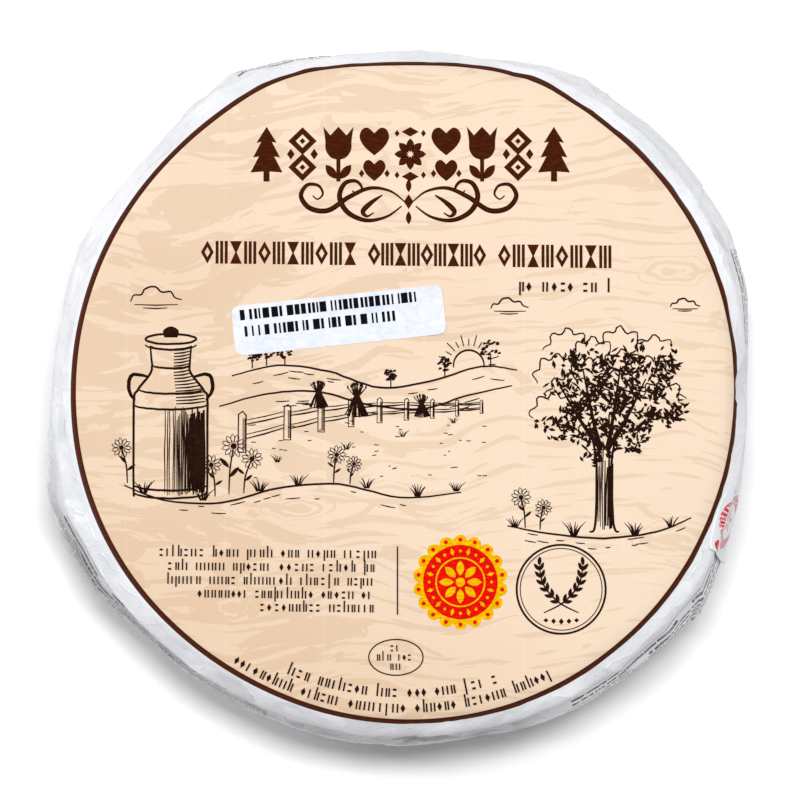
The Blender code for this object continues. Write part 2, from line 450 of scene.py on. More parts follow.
class PaperChart:
    """How the paper lies over the wheel: its rings and columns, and the distance along it to each."""

    def __init__(self):
        self.section = wheel_section()
        self.angles = TAU * np.arange(COLUMNS) / COLUMNS
        shape = (len(self.section), COLUMNS)
        angles = np.broadcast_to(self.angles, shape)
        radii = np.broadcast_to(self.section[:, :1], shape)
        heights = np.broadcast_to(self.section[:, 1:], shape)
        self.points = wrapped_points(angles, radii, heights)
        steps = np.linalg.norm(np.diff(self.points, axis=0), axis=2)
        self.lengths = np.concatenate([np.zeros((1, COLUMNS)), np.cumsum(steps, axis=0)])
        down = np.gradient(self.points, axis=0)
        around = np.roll(self.points, -1, axis=1) - np.roll(self.points, 1, axis=1)
        normals = np.cross(down, around)
        size = np.linalg.norm(normals, axis=2, keepdims=True)
        self.normals = np.where(size > 0.0, normals / np.maximum(size, 1e-12), (0.0, 0.0, 1.0))

    def at(self, round_wheel, down):
        """Point and outward normal at millimetres round the wheel and down from the face's edge."""
        column = round(round_wheel / GIRTH * COLUMNS) % COLUMNS
        along = FACE_RADIUS + down * MM
        lengths = self.lengths[:, column]
        point = [np.interp(along, lengths, self.points[:, column, axis]) for axis in range(3)]
        normal = [np.interp(along, lengths, self.normals[:, column, axis]) for axis in range(3)]
        return Vector(point), Vector(normal).normalized()


# Creases of the paper


def repeat_past_seam(points, swells, margin=20.0):
    """Points near the ends of the unrolled side, repeated a girth away so that the pattern closes."""
    low = [((x + GIRTH, y), swell) for (x, y), swell in zip(points, swells) if x < margin]
    high = [((x - GIRTH, y), swell) for (x, y), swell in zip(points, swells) if x > GIRTH - margin]
    return points + [p for p, _ in low + high], swells + [swell for _, swell in low + high]


def crease_points(draw):
    """Corners of the folded facets on the unrolled side, their swells, and the pairs that a fold joins."""
    points, swells, folds = [], [], []
    for down, spacing, jitter, low, high, folded in CREASE_ROWS:
        count = round(GIRTH / spacing)
        shift = draw.random()
        first = len(points)
        for number in range(count):
            x = (number + shift + draw.uniform(-ROUND_JITTER, ROUND_JITTER)) * GIRTH / count
            points.append((x % GIRTH, down + draw.uniform(-jitter, jitter)))
            swells.append(draw.uniform(low, high))
        if folded:
            row = sorted(range(first, len(points)), key=lambda number: points[number][0])
            folds += list(zip(row, row[1:]))
    return points, swells, folds


def facet_reader(chart, draw, height):
    """A function that gives the place on the folded paper over a place on the unrolled side."""
    points, swells, folds = crease_points(draw)
    points, swells = repeat_past_seam(points, swells)
    flat, _, faces, origins, _, _ = geometry.delaunay_2d_cdt([Vector(p) for p in points], folds, [], 0, 1e-6)
    spread = [Vector((p.x, p.y, 0.0)) for p in flat]
    folded = []
    for place, origin in zip(flat, origins):
        point, normal = chart.at(place.x, place.y)
        swell = swells[origin[0]] if origin else 0.0
        folded.append(point + normal * (swell * height * MM))
    tree = BVHTree.FromPolygons(spread, faces)

    def read(x, y):
        number = tree.ray_cast(Vector((x, y, 1.0)), Vector((0.0, 0.0, -1.0)))[2]
        if number is None:
            return None
        a, b, c = faces[number]
        return geometry.barycentric_transform(
            Vector((x, y, 0.0)), spread[a], spread[b], spread[c], folded[a], folded[b], folded[c])

    return read


def crumple_reader(draw):
    """A function that gives the small swell of the crumpled paper at a place on the unrolled side."""
    columns = round(GIRTH / CRUMPLE_SPACING)
    rows = round(CREASE_ROWS[-1][0] / CRUMPLE_SPACING)
    points, swells = [], []
    for column in range(columns):
        for row in range(rows + 1):
            x = (column + draw.uniform(-0.45, 0.45)) * GIRTH / columns
            points.append((x % GIRTH, (row + draw.uniform(-0.45, 0.45)) * CRUMPLE_SPACING))
            share = float(np.interp(points[-1][1], *CRUMPLE_SHARES))
            swells.append(draw.uniform(-CRUMPLE_SWELL, CRUMPLE_SWELL) * share)
    points, swells = repeat_past_seam(points, swells)
    flat, _, faces, origins, _, _ = geometry.delaunay_2d_cdt([Vector(p) for p in points], [], [], 0, 1e-6)
    tree = BVHTree.FromPolygons([(p.x, p.y, swells[o[0]]) for p, o in zip(flat, origins)], faces)

    def read(x, y):
        hit = tree.ray_cast(Vector((x, y, 1.0)), Vector((0.0, 0.0, -1.0)))[0]
        return hit.z if hit else 0.0

    return read


def flap_swell(angles, down):
    """Steps in the paper where one fold lies over the next, fading out on one side."""
    swell = np.zeros_like(angles)
    for centre, slant, height in FLAPS:
        edge = math.radians(centre) + math.radians(slant) * down
        away = turn_between(angles, edge) * CHEESE_RADIUS / MM
        step = smooth_step(0.0, FLAP_RISE, away) * np.exp(-np.maximum(away, 0.0) / FLAP_FADE)
        swell = swell + height * step
    return swell * smooth_step(CREASE_START[0], 7.5, down)


def base_pleats(angles, radii):
    """How far the gathered paper under the wheel lifts off the table, fold over fold."""
    swirl = PLEAT_SWIRL * radii / BASE_RADIUS
    turn = ((angles + swirl) * PLEAT_COUNT / TAU) % 1.0
    lift = smooth_step(0.0, 0.9, turn) * (1.0 - smooth_step(0.93, 1.0, turn))
    spread = smooth_step(*PLEAT_START, radii) * (1.0 - smooth_step(0.93 * BASE_RADIUS, BASE_RADIUS, radii))
    return PLEAT_DEPTH * lift * spread


def turn_section(bm, section):
    """Turn one sector of the section, double it until the wheel closes, and weld its seams and poles."""
    verts = [bm.verts.new((radius, 0.0, height)) for radius, height in section]
    edges = [bm.edges.new(pair) for pair in zip(verts, verts[1:])]
    sector = TAU / 2**DOUBLINGS
    bmesh.ops.spin(
        bm,
        geom=verts + edges,
        cent=(0.0, 0.0, 0.0),
        axis=(0.0, 0.0, 1.0),
        angle=sector,
        steps=SECTOR_STEPS,
    )
    for doubling in range(DOUBLINGS):
        copied = bmesh.ops.duplicate(bm, geom=bm.verts[:] + bm.edges[:] + bm.faces[:])["geom"]
        bmesh.ops.rotate(
            bm,
            cent=(0.0, 0.0, 0.0),
            matrix=Matrix.Rotation(sector * 2**doubling, 3, "Z"),
            verts=[part for part in copied if isinstance(part, bmesh.types.BMVert)],
        )
    bmesh.ops.remove_doubles(bm, verts=bm.verts, dist=2e-6)
    bmesh.ops.recalc_face_normals(bm, faces=bm.faces)


def places_on_chart(coordinates, section):
    """Ring and column of each turned vertex."""
    radii = np.hypot(coordinates[:, 0], coordinates[:, 1])
    rings = np.empty(len(radii), dtype=int)
    for block in np.array_split(np.arange(len(radii)), 64):
        across = radii[block, None] - section[None, :, 0]
        upright = coordinates[block, 2][:, None] - section[None, :, 1]
        rings[block] = np.argmin(across * across + upright * upright, axis=1)
    angles = np.arctan2(coordinates[:, 1], coordinates[:, 0]) % TAU
    return rings, np.round(angles * COLUMNS / TAU).astype(int) % COLUMNS


def creased_places(chart, rings, columns, settings):
    """Where each vertex lies once the paper is folded into facets, crumpled and pleated underneath."""
    draw = random.Random(settings.crease_seed)
    facets = facet_reader(chart, draw, settings.crease_height)
    crumple = crumple_reader(draw)
    places = chart.points[rings, columns].copy()
    normals = chart.normals[rings, columns]
    angles = chart.angles[columns]
    heights = chart.section[rings, 1]
    down = (chart.lengths[rings, columns] - FACE_RADIUS) / MM
    side = (down > 0.0) & (heights > 0.0)
    swell = flap_swell(angles, down) * settings.crease_height
    share = smooth_step(*CREASE_START, down)
    for number in np.nonzero(side)[0]:
        x = angles[number] * CHEESE_RADIUS / MM
        folded = facets(x, down[number])
        if folded is not None:
            flatness = FLATNESS * share[number] * float(smooth_step(0.0, 1.5 * MM, heights[number]))
            places[number] += flatness * (np.array(folded) - places[number])
        swell[number] += crumple(x, down[number]) * share[number] * settings.crease_height
    swell = np.where(side, swell, 0.0) * smooth_step(0.0, 2.5 * MM, heights)
    places += normals * (swell * MM)[:, None]
    places[:, 2] = np.maximum(places[:, 2], 0.0)
    places[:, 2] += np.where(heights <= 0.0, base_pleats(angles, chart.section[rings, 0]), 0.0)
    places[:, :2] = np.clip(places[:, :2], CAD_BOUNDS[0][:2], CAD_BOUNDS[1][:2])
    return places


def lay_print_flat(mesh, chart, rings, columns):
    """UV map of the paper laid out flat round the middle of the print, in millimetres."""
    loops = np.empty(len(mesh.loops), dtype=np.int32)
    mesh.loops.foreach_get("vertex_index", loops)
    angles = chart.angles[columns]
    away = chart.lengths[rings, columns] / MM
    drift_angles, drifts = zip(*RING_DRIFT)
    nearby = np.degrees(angles) + DRIFT_SOFTNESS * np.linspace(-1.0, 1.0, 7)[:, None]
    drift = np.interp(nearby, drift_angles, drifts, period=360.0).mean(axis=0)
    away = away - drift * smooth_step(DRIFT_START, DRIFT_END, away)
    flat = np.stack([away * np.cos(angles), away * np.sin(angles)], axis=1) - PRINT_MIDDLE
    layer = mesh.uv_layers.new(name="paper")
    layer.data.foreach_set("uv", flat[loops].astype(np.float32).ravel())


# Node materials


class Finish:
    """Short calls that add nodes to one new material and link them."""

    def __init__(self, name):
        self.material = bpy.data.materials.new(name)
        self.material.use_nodes = True
        self.tree = self.material.node_tree
        self.shader = self.tree.nodes["Principled BSDF"]

    def put(self, socket, value):
        if isinstance(value, bpy.types.NodeSocket):
            self.tree.links.new(value, socket)
        elif socket.type == "RGBA":
            socket.default_value = (*value[:3], 1.0)
        else:
            socket.default_value = value

    def node(self, kind, inputs=None, **settings):
        node = self.tree.nodes.new(kind)
        for key, value in settings.items():
            setattr(node, key, value)
        for key, value in (inputs or {}).items():
            self.put(node.inputs[key], value)
        return node

    def math(self, operation, a, b=0.0, c=0.0):
        return self.node("ShaderNodeMath", {0: a, 1: b, 2: c}, operation=operation).outputs[0]

    def vector(self, operation, a, b=(0.0, 0.0, 0.0)):
        return self.node("ShaderNodeVectorMath", {0: a, 1: b}, operation=operation).outputs["Vector"]

    def length(self, a):
        return self.node("ShaderNodeVectorMath", {0: a}, operation="LENGTH").outputs["Value"]

    def step(self, value, low, high, to_low=0.0, to_high=1.0):
        """A smooth step from one value to another."""
        inputs = {"Value": value, "From Min": low, "From Max": high, "To Min": to_low, "To Max": to_high}
        return self.node("ShaderNodeMapRange", inputs, interpolation_type="SMOOTHSTEP").outputs["Result"]

    def mix(self, share, first, second):
        node = self.node("ShaderNodeMix", data_type="RGBA")
        self.put(node.inputs[0], share)
        self.put(node.inputs[6], first)
        self.put(node.inputs[7], second)
        return node.outputs[2]

    def both(self, *shares):
        """The product of the shares."""
        result = shares[0]
        for share in shares[1:]:
            result = self.math("MULTIPLY", result, share)
        return result

    def either(self, *shares):
        """The largest of the shares."""
        result = shares[0]
        for share in shares[1:]:
            result = self.math("MAXIMUM", result, share)
        return result

    def between(self, value, low, high, soft):
        """One between two values and nothing outside them."""
        return self.both(self.step(value, low, low + soft), self.step(value, high - soft, high, 1.0, 0.0))

    def near(self, value, middle, reach, soft):
        """One within reach of the middle value."""
        away = self.math("ABSOLUTE", self.math("SUBTRACT", value, middle))
        return self.step(away, reach, reach + soft, 1.0, 0.0)

    def noise(self, vector, scale=1.0, detail=2.0, roughness=0.5, distortion=0.0):
        inputs = {"Vector": vector, "Scale": scale, "Detail": detail, "Roughness": roughness}
        inputs["Distortion"] = distortion
        return self.node("ShaderNodeTexNoise", inputs).outputs["Fac"]

    def cells(self, vector, scale, feature, output):
        inputs = {"Vector": vector, "Scale": scale}
        return self.node("ShaderNodeTexVoronoi", inputs, feature=feature).outputs[output]

    def chance(self, x, y):
        """An even random number for each whole pair."""
        place = self.combine(x, y)
        node = self.node("ShaderNodeTexWhiteNoise", {"Vector": place}, noise_dimensions="2D")
        return node.outputs["Value"]

    def stretch(self, vector, scale, turn=0.0, shift=(0.0, 0.0, 0.0)):
        inputs = {"Vector": vector, "Location": shift, "Scale": scale, "Rotation": (0.0, 0.0, turn)}
        return self.node("ShaderNodeMapping", inputs).outputs[0]

    def combine(self, x, y, z=0.0):
        return self.node("ShaderNodeCombineXYZ", {0: x, 1: y, 2: z}).outputs[0]

    def separate(self, vector):
        node = self.node("ShaderNodeSeparateXYZ", {0: vector})
        return node.outputs[0], node.outputs[1]

    def place(self):
        return self.node("ShaderNodeTexCoord").outputs["Object"]

    def bump(self, height, distance, strength=1.0, normal=None):
        inputs = {"Height": height, "Distance": distance, "Strength": strength}
        if normal is not None:
            inputs["Normal"] = normal
        return self.node("ShaderNodeBump", inputs).outputs[0]

    def finish(self, **sockets):
        for name, value in sockets.items():
            self.put(self.shader.inputs[name.replace("_", " ")], value)
        return self.material


def grain_streaks(n, x, y, pitch, reach, thickest, seed):
    """Tapering streaks along x, one row for each pitch, that come and go."""
    rows = n.math("DIVIDE", y, pitch)
    row = n.math("FLOOR", rows)
    across = n.math("ABSOLUTE", n.math("SUBTRACT", n.math("FRACT", rows), 0.5))
    along = n.math("MULTIPLY_ADD", row, 3.7, n.math("DIVIDE", x, reach))
    width = n.noise(n.combine(along, n.math("MULTIPLY_ADD", row, 7.31, seed)), 1.0, 1.0)
    width = n.step(width, 0.39, 0.64, -0.06, n.both(thickest, 0.5 / pitch))
    return n.step(n.math("SUBTRACT", width, across), -0.012, 0.03)


def knot_field(n, flat, y):
    """Height across the grain, which parts round each knot, and the share of the knots' own rings."""
    height, knotted = y, 0.0
    wobble = n.noise(flat, 0.22, 2.0)
    for knot_x, knot_y, half_length, half_height in KNOTS:
        offset = n.vector("SUBTRACT", flat, (knot_x - PRINT_MIDDLE[0], knot_y - PRINT_MIDDLE[1], 0.0))
        away = n.length(n.vector("DIVIDE", offset, (half_length, half_height, 1.0)))
        away = n.math("MULTIPLY_ADD", wobble, 0.9, n.math("SUBTRACT", away, 0.45))
        parted = n.math("POWER", 0.42, n.both(away, away))
        across = n.separate(offset)[1]
        height = n.math("MULTIPLY_ADD", across, n.both(parted, -0.8), height)
        rings = n.between(n.math("FRACT", n.both(away, 2.3)), 0.06, 0.60, 0.06)
        eye = n.either(rings, n.step(away, 0.26, 0.30, 1.0, 0.0))
        knotted = n.either(knotted, n.both(eye, n.step(away, 0.96, 1.0, 1.0, 0.0)))
    return height, knotted


def wood_grain(n, flat):
    """Share of the darker tone: streaks that part round knots, and wide patches with wavy edges."""
    x, y = n.separate(flat)
    height, knotted = knot_field(n, flat, y)
    sway = n.noise(n.stretch(flat, (0.020, 0.022, 1.0)), 1.0, 1.0)
    ripple = n.noise(n.stretch(flat, (0.075, 0.09, 1.0), shift=(5.0, 1.0, 0.0)), 1.0, 1.0)
    height = n.math("MULTIPLY_ADD", sway, 22.0, height)
    height = n.math("MULTIPLY_ADD", ripple, 4.0, height)
    height = n.math("MULTIPLY_ADD", x, -0.06, height)
    bold = grain_streaks(n, x, height, 3.9, 18.0, n.step(x, -20.0, 25.0, 1.7, 1.05), 0.3)
    fine = grain_streaks(n, x, n.math("ADD", height, 1.6), 2.6, 12.0, 0.80, 5.1)
    cloud_place = n.stretch(n.combine(x, height), (0.060, 0.17, 1.0), shift=(2.7, 9.0, 0.0))
    cloud = n.noise(cloud_place, 1.0, 3.0, 0.5, 1.3)
    edge = n.step(x, -30.0, 35.0, 0.51, 0.66)
    patch = n.step(n.math("SUBTRACT", cloud, edge), -0.004, 0.008)
    return n.either(bold, fine, patch, knotted)


def side_print(n, around, away):
    """Share of ink in the rows of small blocks down the side, with a thin line over each wide block."""
    turn = n.math("MULTIPLY", around, 180.0 / math.pi)
    down = n.math("SUBTRACT", away, RING_RADIUS)
    along = n.math("MULTIPLY", around, CHEESE_RADIUS / MM)
    rows = n.math("DIVIDE", n.math("SUBTRACT", down, SIDE_PRINT_START), SIDE_ROW_PITCH)
    row = n.math("FLOOR", rows)
    in_row = n.combine(along, n.math("MULTIPLY", row, 5.3))
    first = n.step(row, 0.4, 0.6, 0.05, 0.0)
    ink = n.both(
        n.between(n.math("FRACT", rows), 0.14, 0.74, 0.1),
        n.step(n.math("ADD", n.noise(in_row, 1.5, 1.0), first), 0.41, 0.46),
        n.step(n.noise(n.combine(along, down), 2.0, 1.0), 0.34, 0.40),
        n.step(n.chance(n.math("FLOOR", n.math("DIVIDE", along, 4.4)), row), 0.06, 0.08),
        n.between(row, -0.6, SIDE_ROWS - 0.4, 0.2),
    )
    blocks = n.either(*[n.between(turn, low, high, 0.4) for low, high in BLOCK_SECTORS])
    specks = n.either(*[n.between(turn, low, high, 0.4) for low, high in SPECK_SECTORS])
    frame_line = n.near(down, SIDE_PRINT_START - 1.0, 0.09, 0.07)
    return n.either(n.both(ink, n.either(blocks, specks)), n.both(frame_line, blocks))


def painted_shade_share(n, around, away):
    """Share of painted shade on the bare paper, sector by sector."""
    turn = n.math("MULTIPLY", around, 180.0 / math.pi)
    patches = []
    for middle, half_width, start in PAINTED_SHADE_SECTORS:
        sector = n.near(turn, middle, 0.6 * half_width, 0.8 * half_width)
        patches.append(n.both(sector, n.step(away, RING_RADIUS + start, RING_RADIUS + start + 6.0)))
    fade = n.step(away, RING_RADIUS + PAINTED_SHADE_FADE[0], RING_RADIUS + PAINTED_SHADE_FADE[1], 1.0, 0.0)
    return n.both(n.either(*patches), fade)


def printed_wood(n, flat, inks):
    """The pale printed wood, with painted shade that darkens it towards the lower left."""
    x, y = n.separate(flat)
    wood = n.mix(wood_grain(n, flat), tuple(inks.wood), tuple(inks.grain))
    # Painted shade: a darkening towards the lower left, broken up by noise, where less light falls on the face
    gloom = n.noise(n.stretch(flat, (0.012, 0.02, 1.0), shift=(7.0, 2.0, 0.0)), 1.0, 2.0)
    lean = n.math("MULTIPLY_ADD", x, -0.0038, n.math("MULTIPLY", y, -0.0045))
    painted_shade_amount = n.step(n.math("ADD", gloom, lean), 0.35, 0.95)
    shade = n.mix(painted_shade_amount, (1.0, 1.0, 1.0), (0.93, 0.88, 0.83))
    wood = n.vector("MULTIPLY", wood, shade)
    wood = n.mix(n.step(n.noise(flat, 1.6, 4.0, 0.7), 0.35, 0.75, 0.0, 0.10), wood, srgb(226, 192, 160))
    # Painted highlight: faint lighter lines along the straight folds of the face, where the creased paper
    # would catch the light
    folds = n.math("DIVIDE", n.math("SUBTRACT", x, FACE_FOLD_START - 0.5 * FACE_FOLD_PITCH), FACE_FOLD_PITCH)
    fold = n.near(n.math("FRACT", folds), 0.5, 0.007, 0.012)
    return n.mix(n.both(fold, 0.05), wood, srgb(253, 236, 216))


PRINT_ROUGHNESS = 0.55
PRINT_SHINE = 0.03
INK_SHINE = 0.0
# Facets between the small creases: length round the wheel, width down it, tilt, and depth of the creases
FACET_SIZES = ((6.5, 2.6, 0.26, 1.0), (2.6, 1.5, 0.12, 0.5))
CREASE_DEPTH = 0.07 * MM


def facets_of(n, unrolled, creased):
    """How the small flat facets of the creased paper lean, each its own way, and the creases between."""
    wander = n.node("ShaderNodeTexNoise", {"Vector": unrolled, "Scale": 0.22}).outputs["Color"]
    wander = n.vector("MULTIPLY", n.vector("SUBTRACT", wander, (0.5, 0.5, 0.5)), (1.6, 1.6, 0.0))
    unrolled = n.vector("ADD", unrolled, wander)
    tilt, height = (0.0, 0.0, 0.0), 0.0
    for length, width, lean, depth in FACET_SIZES:
        cells = n.stretch(unrolled, (1.0 / length, 1.0 / width, 1.0))
        cell = n.vector("SUBTRACT", n.cells(cells, 1.0, "F1", "Color"), (0.5, 0.5, 0.5))
        tilt = n.vector("ADD", n.vector("MULTIPLY", cell, (lean, lean, lean)), tilt)
        line = n.step(n.cells(cells, 1.0, "DISTANCE_TO_EDGE", "Distance"), 0.0, 0.07, depth, 0.0)
        marked = n.step(n.noise(unrolled, 0.35 / depth, 1.0), 0.40, 0.60, -0.5, 1.0)
        height = n.math("MULTIPLY_ADD", line, marked, height)
    return n.vector("MULTIPLY", tilt, n.combine(creased, creased, creased)), n.both(height, creased)


def wrapper_material(paper, inks):
    n = Finish("waxed_paper")
    flat = n.node("ShaderNodeUVMap", uv_map="paper").outputs["UV"]
    away = n.length(flat)
    x, y = n.separate(flat)
    around = n.math("ARCTAN2", y, x)
    place = n.place()

    streak = n.noise(n.stretch(flat, (0.9, 3.2, 1.0), turn=0.6), 1.0, 3.0, 0.7)
    ring = n.mix(n.step(streak, 0.35, 0.68), tuple(0.62 * value for value in inks.ring), tuple(inks.ring))
    height = n.node("ShaderNodeSeparateXYZ", {0: place}).outputs[2]
    far = n.step(height, 0.9 * UNDERSIDE_HEIGHT, UNDERSIDE_HEIGHT, FAR_FROM_PRINT, 0.0)
    from_middle = n.math("ABSOLUTE", n.math("SUBTRACT", n.either(away, far), RING_RADIUS))
    ring = n.mix(n.step(from_middle, 0.6 * RING_HALF_WIDTH, 0.92 * RING_HALF_WIDTH), ring, srgb(40, 16, 9))
    on_ring = n.step(from_middle, RING_HALF_WIDTH - 0.03, RING_HALF_WIDTH + 0.06, 1.0, 0.0)

    bare = n.mix(n.step(n.noise(place, 70.0, 3.0), 0.35, 0.7), tuple(paper.paper), tuple(paper.shade))
    # Painted shade: the bare paper is darkened at the bottom and lower left of the rim
    painted_shade = n.mix(painted_shade_share(n, around, away), (1.0, 1.0, 1.0), tuple(paper.painted_shade))
    bare = n.vector("MULTIPLY", bare, painted_shade)
    bare = n.mix(side_print(n, around, away), bare, srgb(34, 26, 28))
    outside = n.step(n.either(away, far), RING_RADIUS - 0.06, RING_RADIUS + 0.06)
    colour = n.mix(on_ring, n.mix(outside, printed_wood(n, flat, inks), bare), ring)

    creased = n.step(away, RING_RADIUS - 0.2, RING_RADIUS + 1.8)
    tilt, creases = facets_of(n, n.combine(n.both(around, CHEESE_RADIUS / MM), away), creased)
    normal = n.vector("NORMALIZE", n.vector("ADD", n.node("ShaderNodeNewGeometry").outputs["Normal"], tilt))
    relief = n.math("MULTIPLY_ADD", n.noise(place, 1300.0, 3.0), 0.15, creases)
    bump = n.bump(relief, CREASE_DEPTH, 1.0, normal)
    gloss = n.step(n.noise(place, 240.0, 2.0), 0.3, 0.7, 0.24, 0.38)
    gloss = n.math("MULTIPLY_ADD", creased, n.math("SUBTRACT", gloss, PRINT_ROUGHNESS), PRINT_ROUGHNESS)
    shine = n.step(away, RING_RADIUS - 0.2, RING_RADIUS + 0.8, PRINT_SHINE, 0.33)
    return n.finish(Base_Color=colour, Roughness=gloss, Normal=bump, Specular_IOR_Level=shine)


def ink_material(name, ink):
    """Printed ink, slightly uneven like the ring's."""
    n = Finish(name)
    place = n.place()
    worn = n.noise(n.stretch(place, (700.0, 1900.0, 1.0), turn=0.6), 1.0, 3.0, 0.7)
    dark, pale = tuple(0.72 * value for value in ink), tuple(min(1.25 * value, 1.0) for value in ink)
    gloss = n.step(n.noise(place, 900.0, 2.0), 0.3, 0.7, 0.42, 0.55)
    colour = n.mix(n.step(worn, 0.4, 0.72), dark, pale)
    return n.finish(Base_Color=colour, Roughness=gloss, Specular_IOR_Level=INK_SHINE)


def slip_material(paper):
    """Pale blue label paper with faint veins."""
    n = Finish("slip_paper")
    place = n.place()
    vein = n.noise(n.stretch(place, (130.0, 190.0, 1.0), turn=0.5), 1.0, 4.0, 0.6, 1.2)
    marbled = n.step(n.math("ABSOLUTE", n.math("SUBTRACT", vein, 0.5)), 0.0, 0.06, 0.32, 0.0)
    colour = n.mix(marbled, tuple(paper), srgb(176, 196, 232))
    colour = n.mix(n.step(n.noise(place, 45.0, 2.0), 0.4, 0.7, 0.0, 0.5), colour, srgb(212, 220, 238))
    bump = n.bump(n.noise(place, 1500.0, 2.0), 0.02 * MM, 0.4)
    gloss = n.step(n.noise(place, 300.0, 2.0), 0.3, 0.7, 0.44, 0.54)
    return n.finish(Base_Color=colour, Roughness=gloss, Normal=bump, Specular_IOR_Level=0.35)


# The print of the rim sticker, in millimetres from its middle
RIM_RING_MIDDLE = (1.0, 1.8, 0.0)
RIM_RING_RADIUS = 5.3
RIM_TICK_REACH = (3.6, 5.15)
RIM_TICKS = 34.0
RIM_DROP_PLACE = (-5.1, 6.3, 0.0)


def rim_sticker_material(settings):
    """White sticker paper with a red ring of ticks, a small flower in it and a drop at the lower end."""
    n = Finish("rim_sticker_paper")
    across = n.node("ShaderNodeUVMap", uv_map="sticker").outputs["UV"]
    flat = n.vector("MULTIPLY", across, (0.5 * RIM_STICKER_ACROSS, 0.5 * RIM_STICKER_DOWN, 0.0))
    centred = n.vector("SUBTRACT", flat, RIM_RING_MIDDLE)
    x, y = n.separate(centred)
    away, turn = n.length(centred), n.math("ARCTAN2", y, x)
    ticks = n.step(n.math("FRACT", n.math("MULTIPLY", turn, RIM_TICKS / TAU)), 0.18, 0.28)
    ring = n.both(n.between(away, *RIM_TICK_REACH, 0.1), ticks)
    ring = n.either(ring, n.near(away, RIM_RING_RADIUS, 0.12, 0.06))
    petals = n.math("MULTIPLY_ADD", n.math("COSINE", n.math("MULTIPLY", turn, 5.0)), 0.8, 1.5)
    flower = n.both(n.step(n.math("SUBTRACT", petals, away), 0.0, 0.12), n.step(away, 0.5, 0.6))
    drop_place = n.vector("MULTIPLY", n.vector("SUBTRACT", flat, RIM_DROP_PLACE), (0.8, 1.1, 0.0))
    drop = n.step(n.length(drop_place), 0.85, 0.95, 1.0, 0.0)
    worn = n.step(n.noise(n.place(), 1400.0, 2.0), 0.34, 0.44)
    colour = n.mix(n.both(n.either(ring, drop), worn), tuple(settings.rim_paper), tuple(settings.rim_ink))
    colour = n.mix(n.both(flower, 0.65), colour, srgb(226, 110, 112))
    gloss = n.step(n.noise(n.place(), 300.0, 2.0), 0.3, 0.7, 0.34, 0.44)
    bump = n.bump(n.noise(n.place(), 900.0, 2.0), 0.03 * MM, 0.5)
    return n.finish(Base_Color=colour, Roughness=gloss, Normal=bump, Specular_IOR_Level=0.4)


def floor_material():
    n = Finish("pale_floor")
    colour = n.mix(n.noise(n.place(), 8.0), (0.955, 0.955, 0.955), (0.965, 0.965, 0.965))
    return n.finish(Base_Color=colour, Roughness=0.9, Specular_IOR_Level=0.1)


# Pieces


def link_object(name, data):
    thing = bpy.data.objects.new(name, data)
    bpy.context.scene.collection.objects.link(thing)
    return thing


def object_from_bmesh(name, bm, material):
    mesh = bpy.data.meshes.new(name)
    bm.to_mesh(mesh)
    bm.free()
    mesh.materials.append(material)
    return link_object(name, mesh)


def settle(piece, slot, *nodes):
    """The piece rides on the wheel and stands for the nodes it replaces, which are hidden. The slot is not
    used.
    """
    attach(piece, "root")
    if nodes:
        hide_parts(*nodes)


def surface_of(name):
    """The surface of a finished piece as a tree, to lay things on."""
    piece = bpy.data.objects.get(name)
    if piece is None:
        raise RuntimeError(name + " has to be made first")
    mesh = piece.data
    return BVHTree.FromPolygons([v.co for v in mesh.vertices], [p.vertices for p in mesh.polygons])


class Ink:
    """Gathers strokes and filled shapes, in millimetres on the print, into one thin mesh on the paper."""

    def __init__(self):
        self.bm = bmesh.new()
        self.strokes = bpy.data.curves.new("strokes", "CURVE")
        self.strokes.dimensions = "3D"
        self.strokes.twist_mode = "Z_UP"
        self.strokes.bevel_depth = 1.0
        self.strokes.bevel_resolution = 0
        self.strokes.use_fill_caps = True

    def shaded_stroke(self, points, widths, closed=False):
        """A stroke with its own width at each point."""
        spline = self.strokes.splines.new("POLY")
        spline.points.add(len(points) - 1)
        spline.use_cyclic_u = closed
        for (x, y), width, point in zip(points, widths, spline.points):
            point.co = (x, y, 0.0, 1.0)
            point.radius = 0.5 * width

    def stroke(self, points, width, closed=False):
        """A pen stroke. Its ends thin out unless it is closed."""
        widths = []
        for number in range(len(points)):
            along = number / max(len(points) - 1, 1)
            thin = 1.0 if closed else 0.25 + 0.75 * math.sin(math.pi * (0.08 + 0.84 * along)) ** 0.5
            widths.append(width * thin)
        self.shaded_stroke(points, widths, closed)

    def fill(self, *outlines, lift=0.0):
        """A filled shape. Outlines inside the first one are holes."""
        curve = bpy.data.curves.new("fill", "CURVE")
        curve.dimensions = "2D"
        curve.fill_mode = "BOTH"
        curve.extrude = INK_RELIEF
        for outline in outlines:
            spline = curve.splines.new("POLY")
            spline.points.add(len(outline) - 1)
            spline.use_cyclic_u = True
            for (x, y), point in zip(outline, spline.points):
                point.co = (x, y, 0.0, 1.0)
        self.gather(curve, lift)

    def gather(self, curve, lift):
        before = len(self.bm.verts)
        holder = bpy.data.objects.new("holder", curve)
        self.bm.from_mesh(holder.to_mesh())
        bpy.data.objects.remove(holder)
        bpy.data.curves.remove(curve)
        self.bm.verts.ensure_lookup_table()
        for vert in self.bm.verts[before:]:
            vert.co.z = min(max(vert.co.z, -INK_RELIEF), INK_RELIEF) + lift

    def lay(self, name, material, surface, lift=INK_LIFT):
        """Weld what was drawn, and lay it on the surface."""
        self.gather(self.strokes, 0.0)
        bmesh.ops.remove_doubles(self.bm, verts=self.bm.verts, dist=1e-4)
        bmesh.ops.recalc_face_normals(self.bm, faces=self.bm.faces)
        down = Vector((0.0, 0.0, -1.0))
        for vert in self.bm.verts:
            start = Vector((vert.co.x * MM, vert.co.y * MM, 2.0 * WHEEL_HEIGHT))
            hit = surface.ray_cast(start, down)[0]
            vert.co = (start.x, start.y, hit.z + (vert.co.z + lift) * MM)
        return object_from_bmesh(name, self.bm, material)


# Shapes of the print, in millimetres


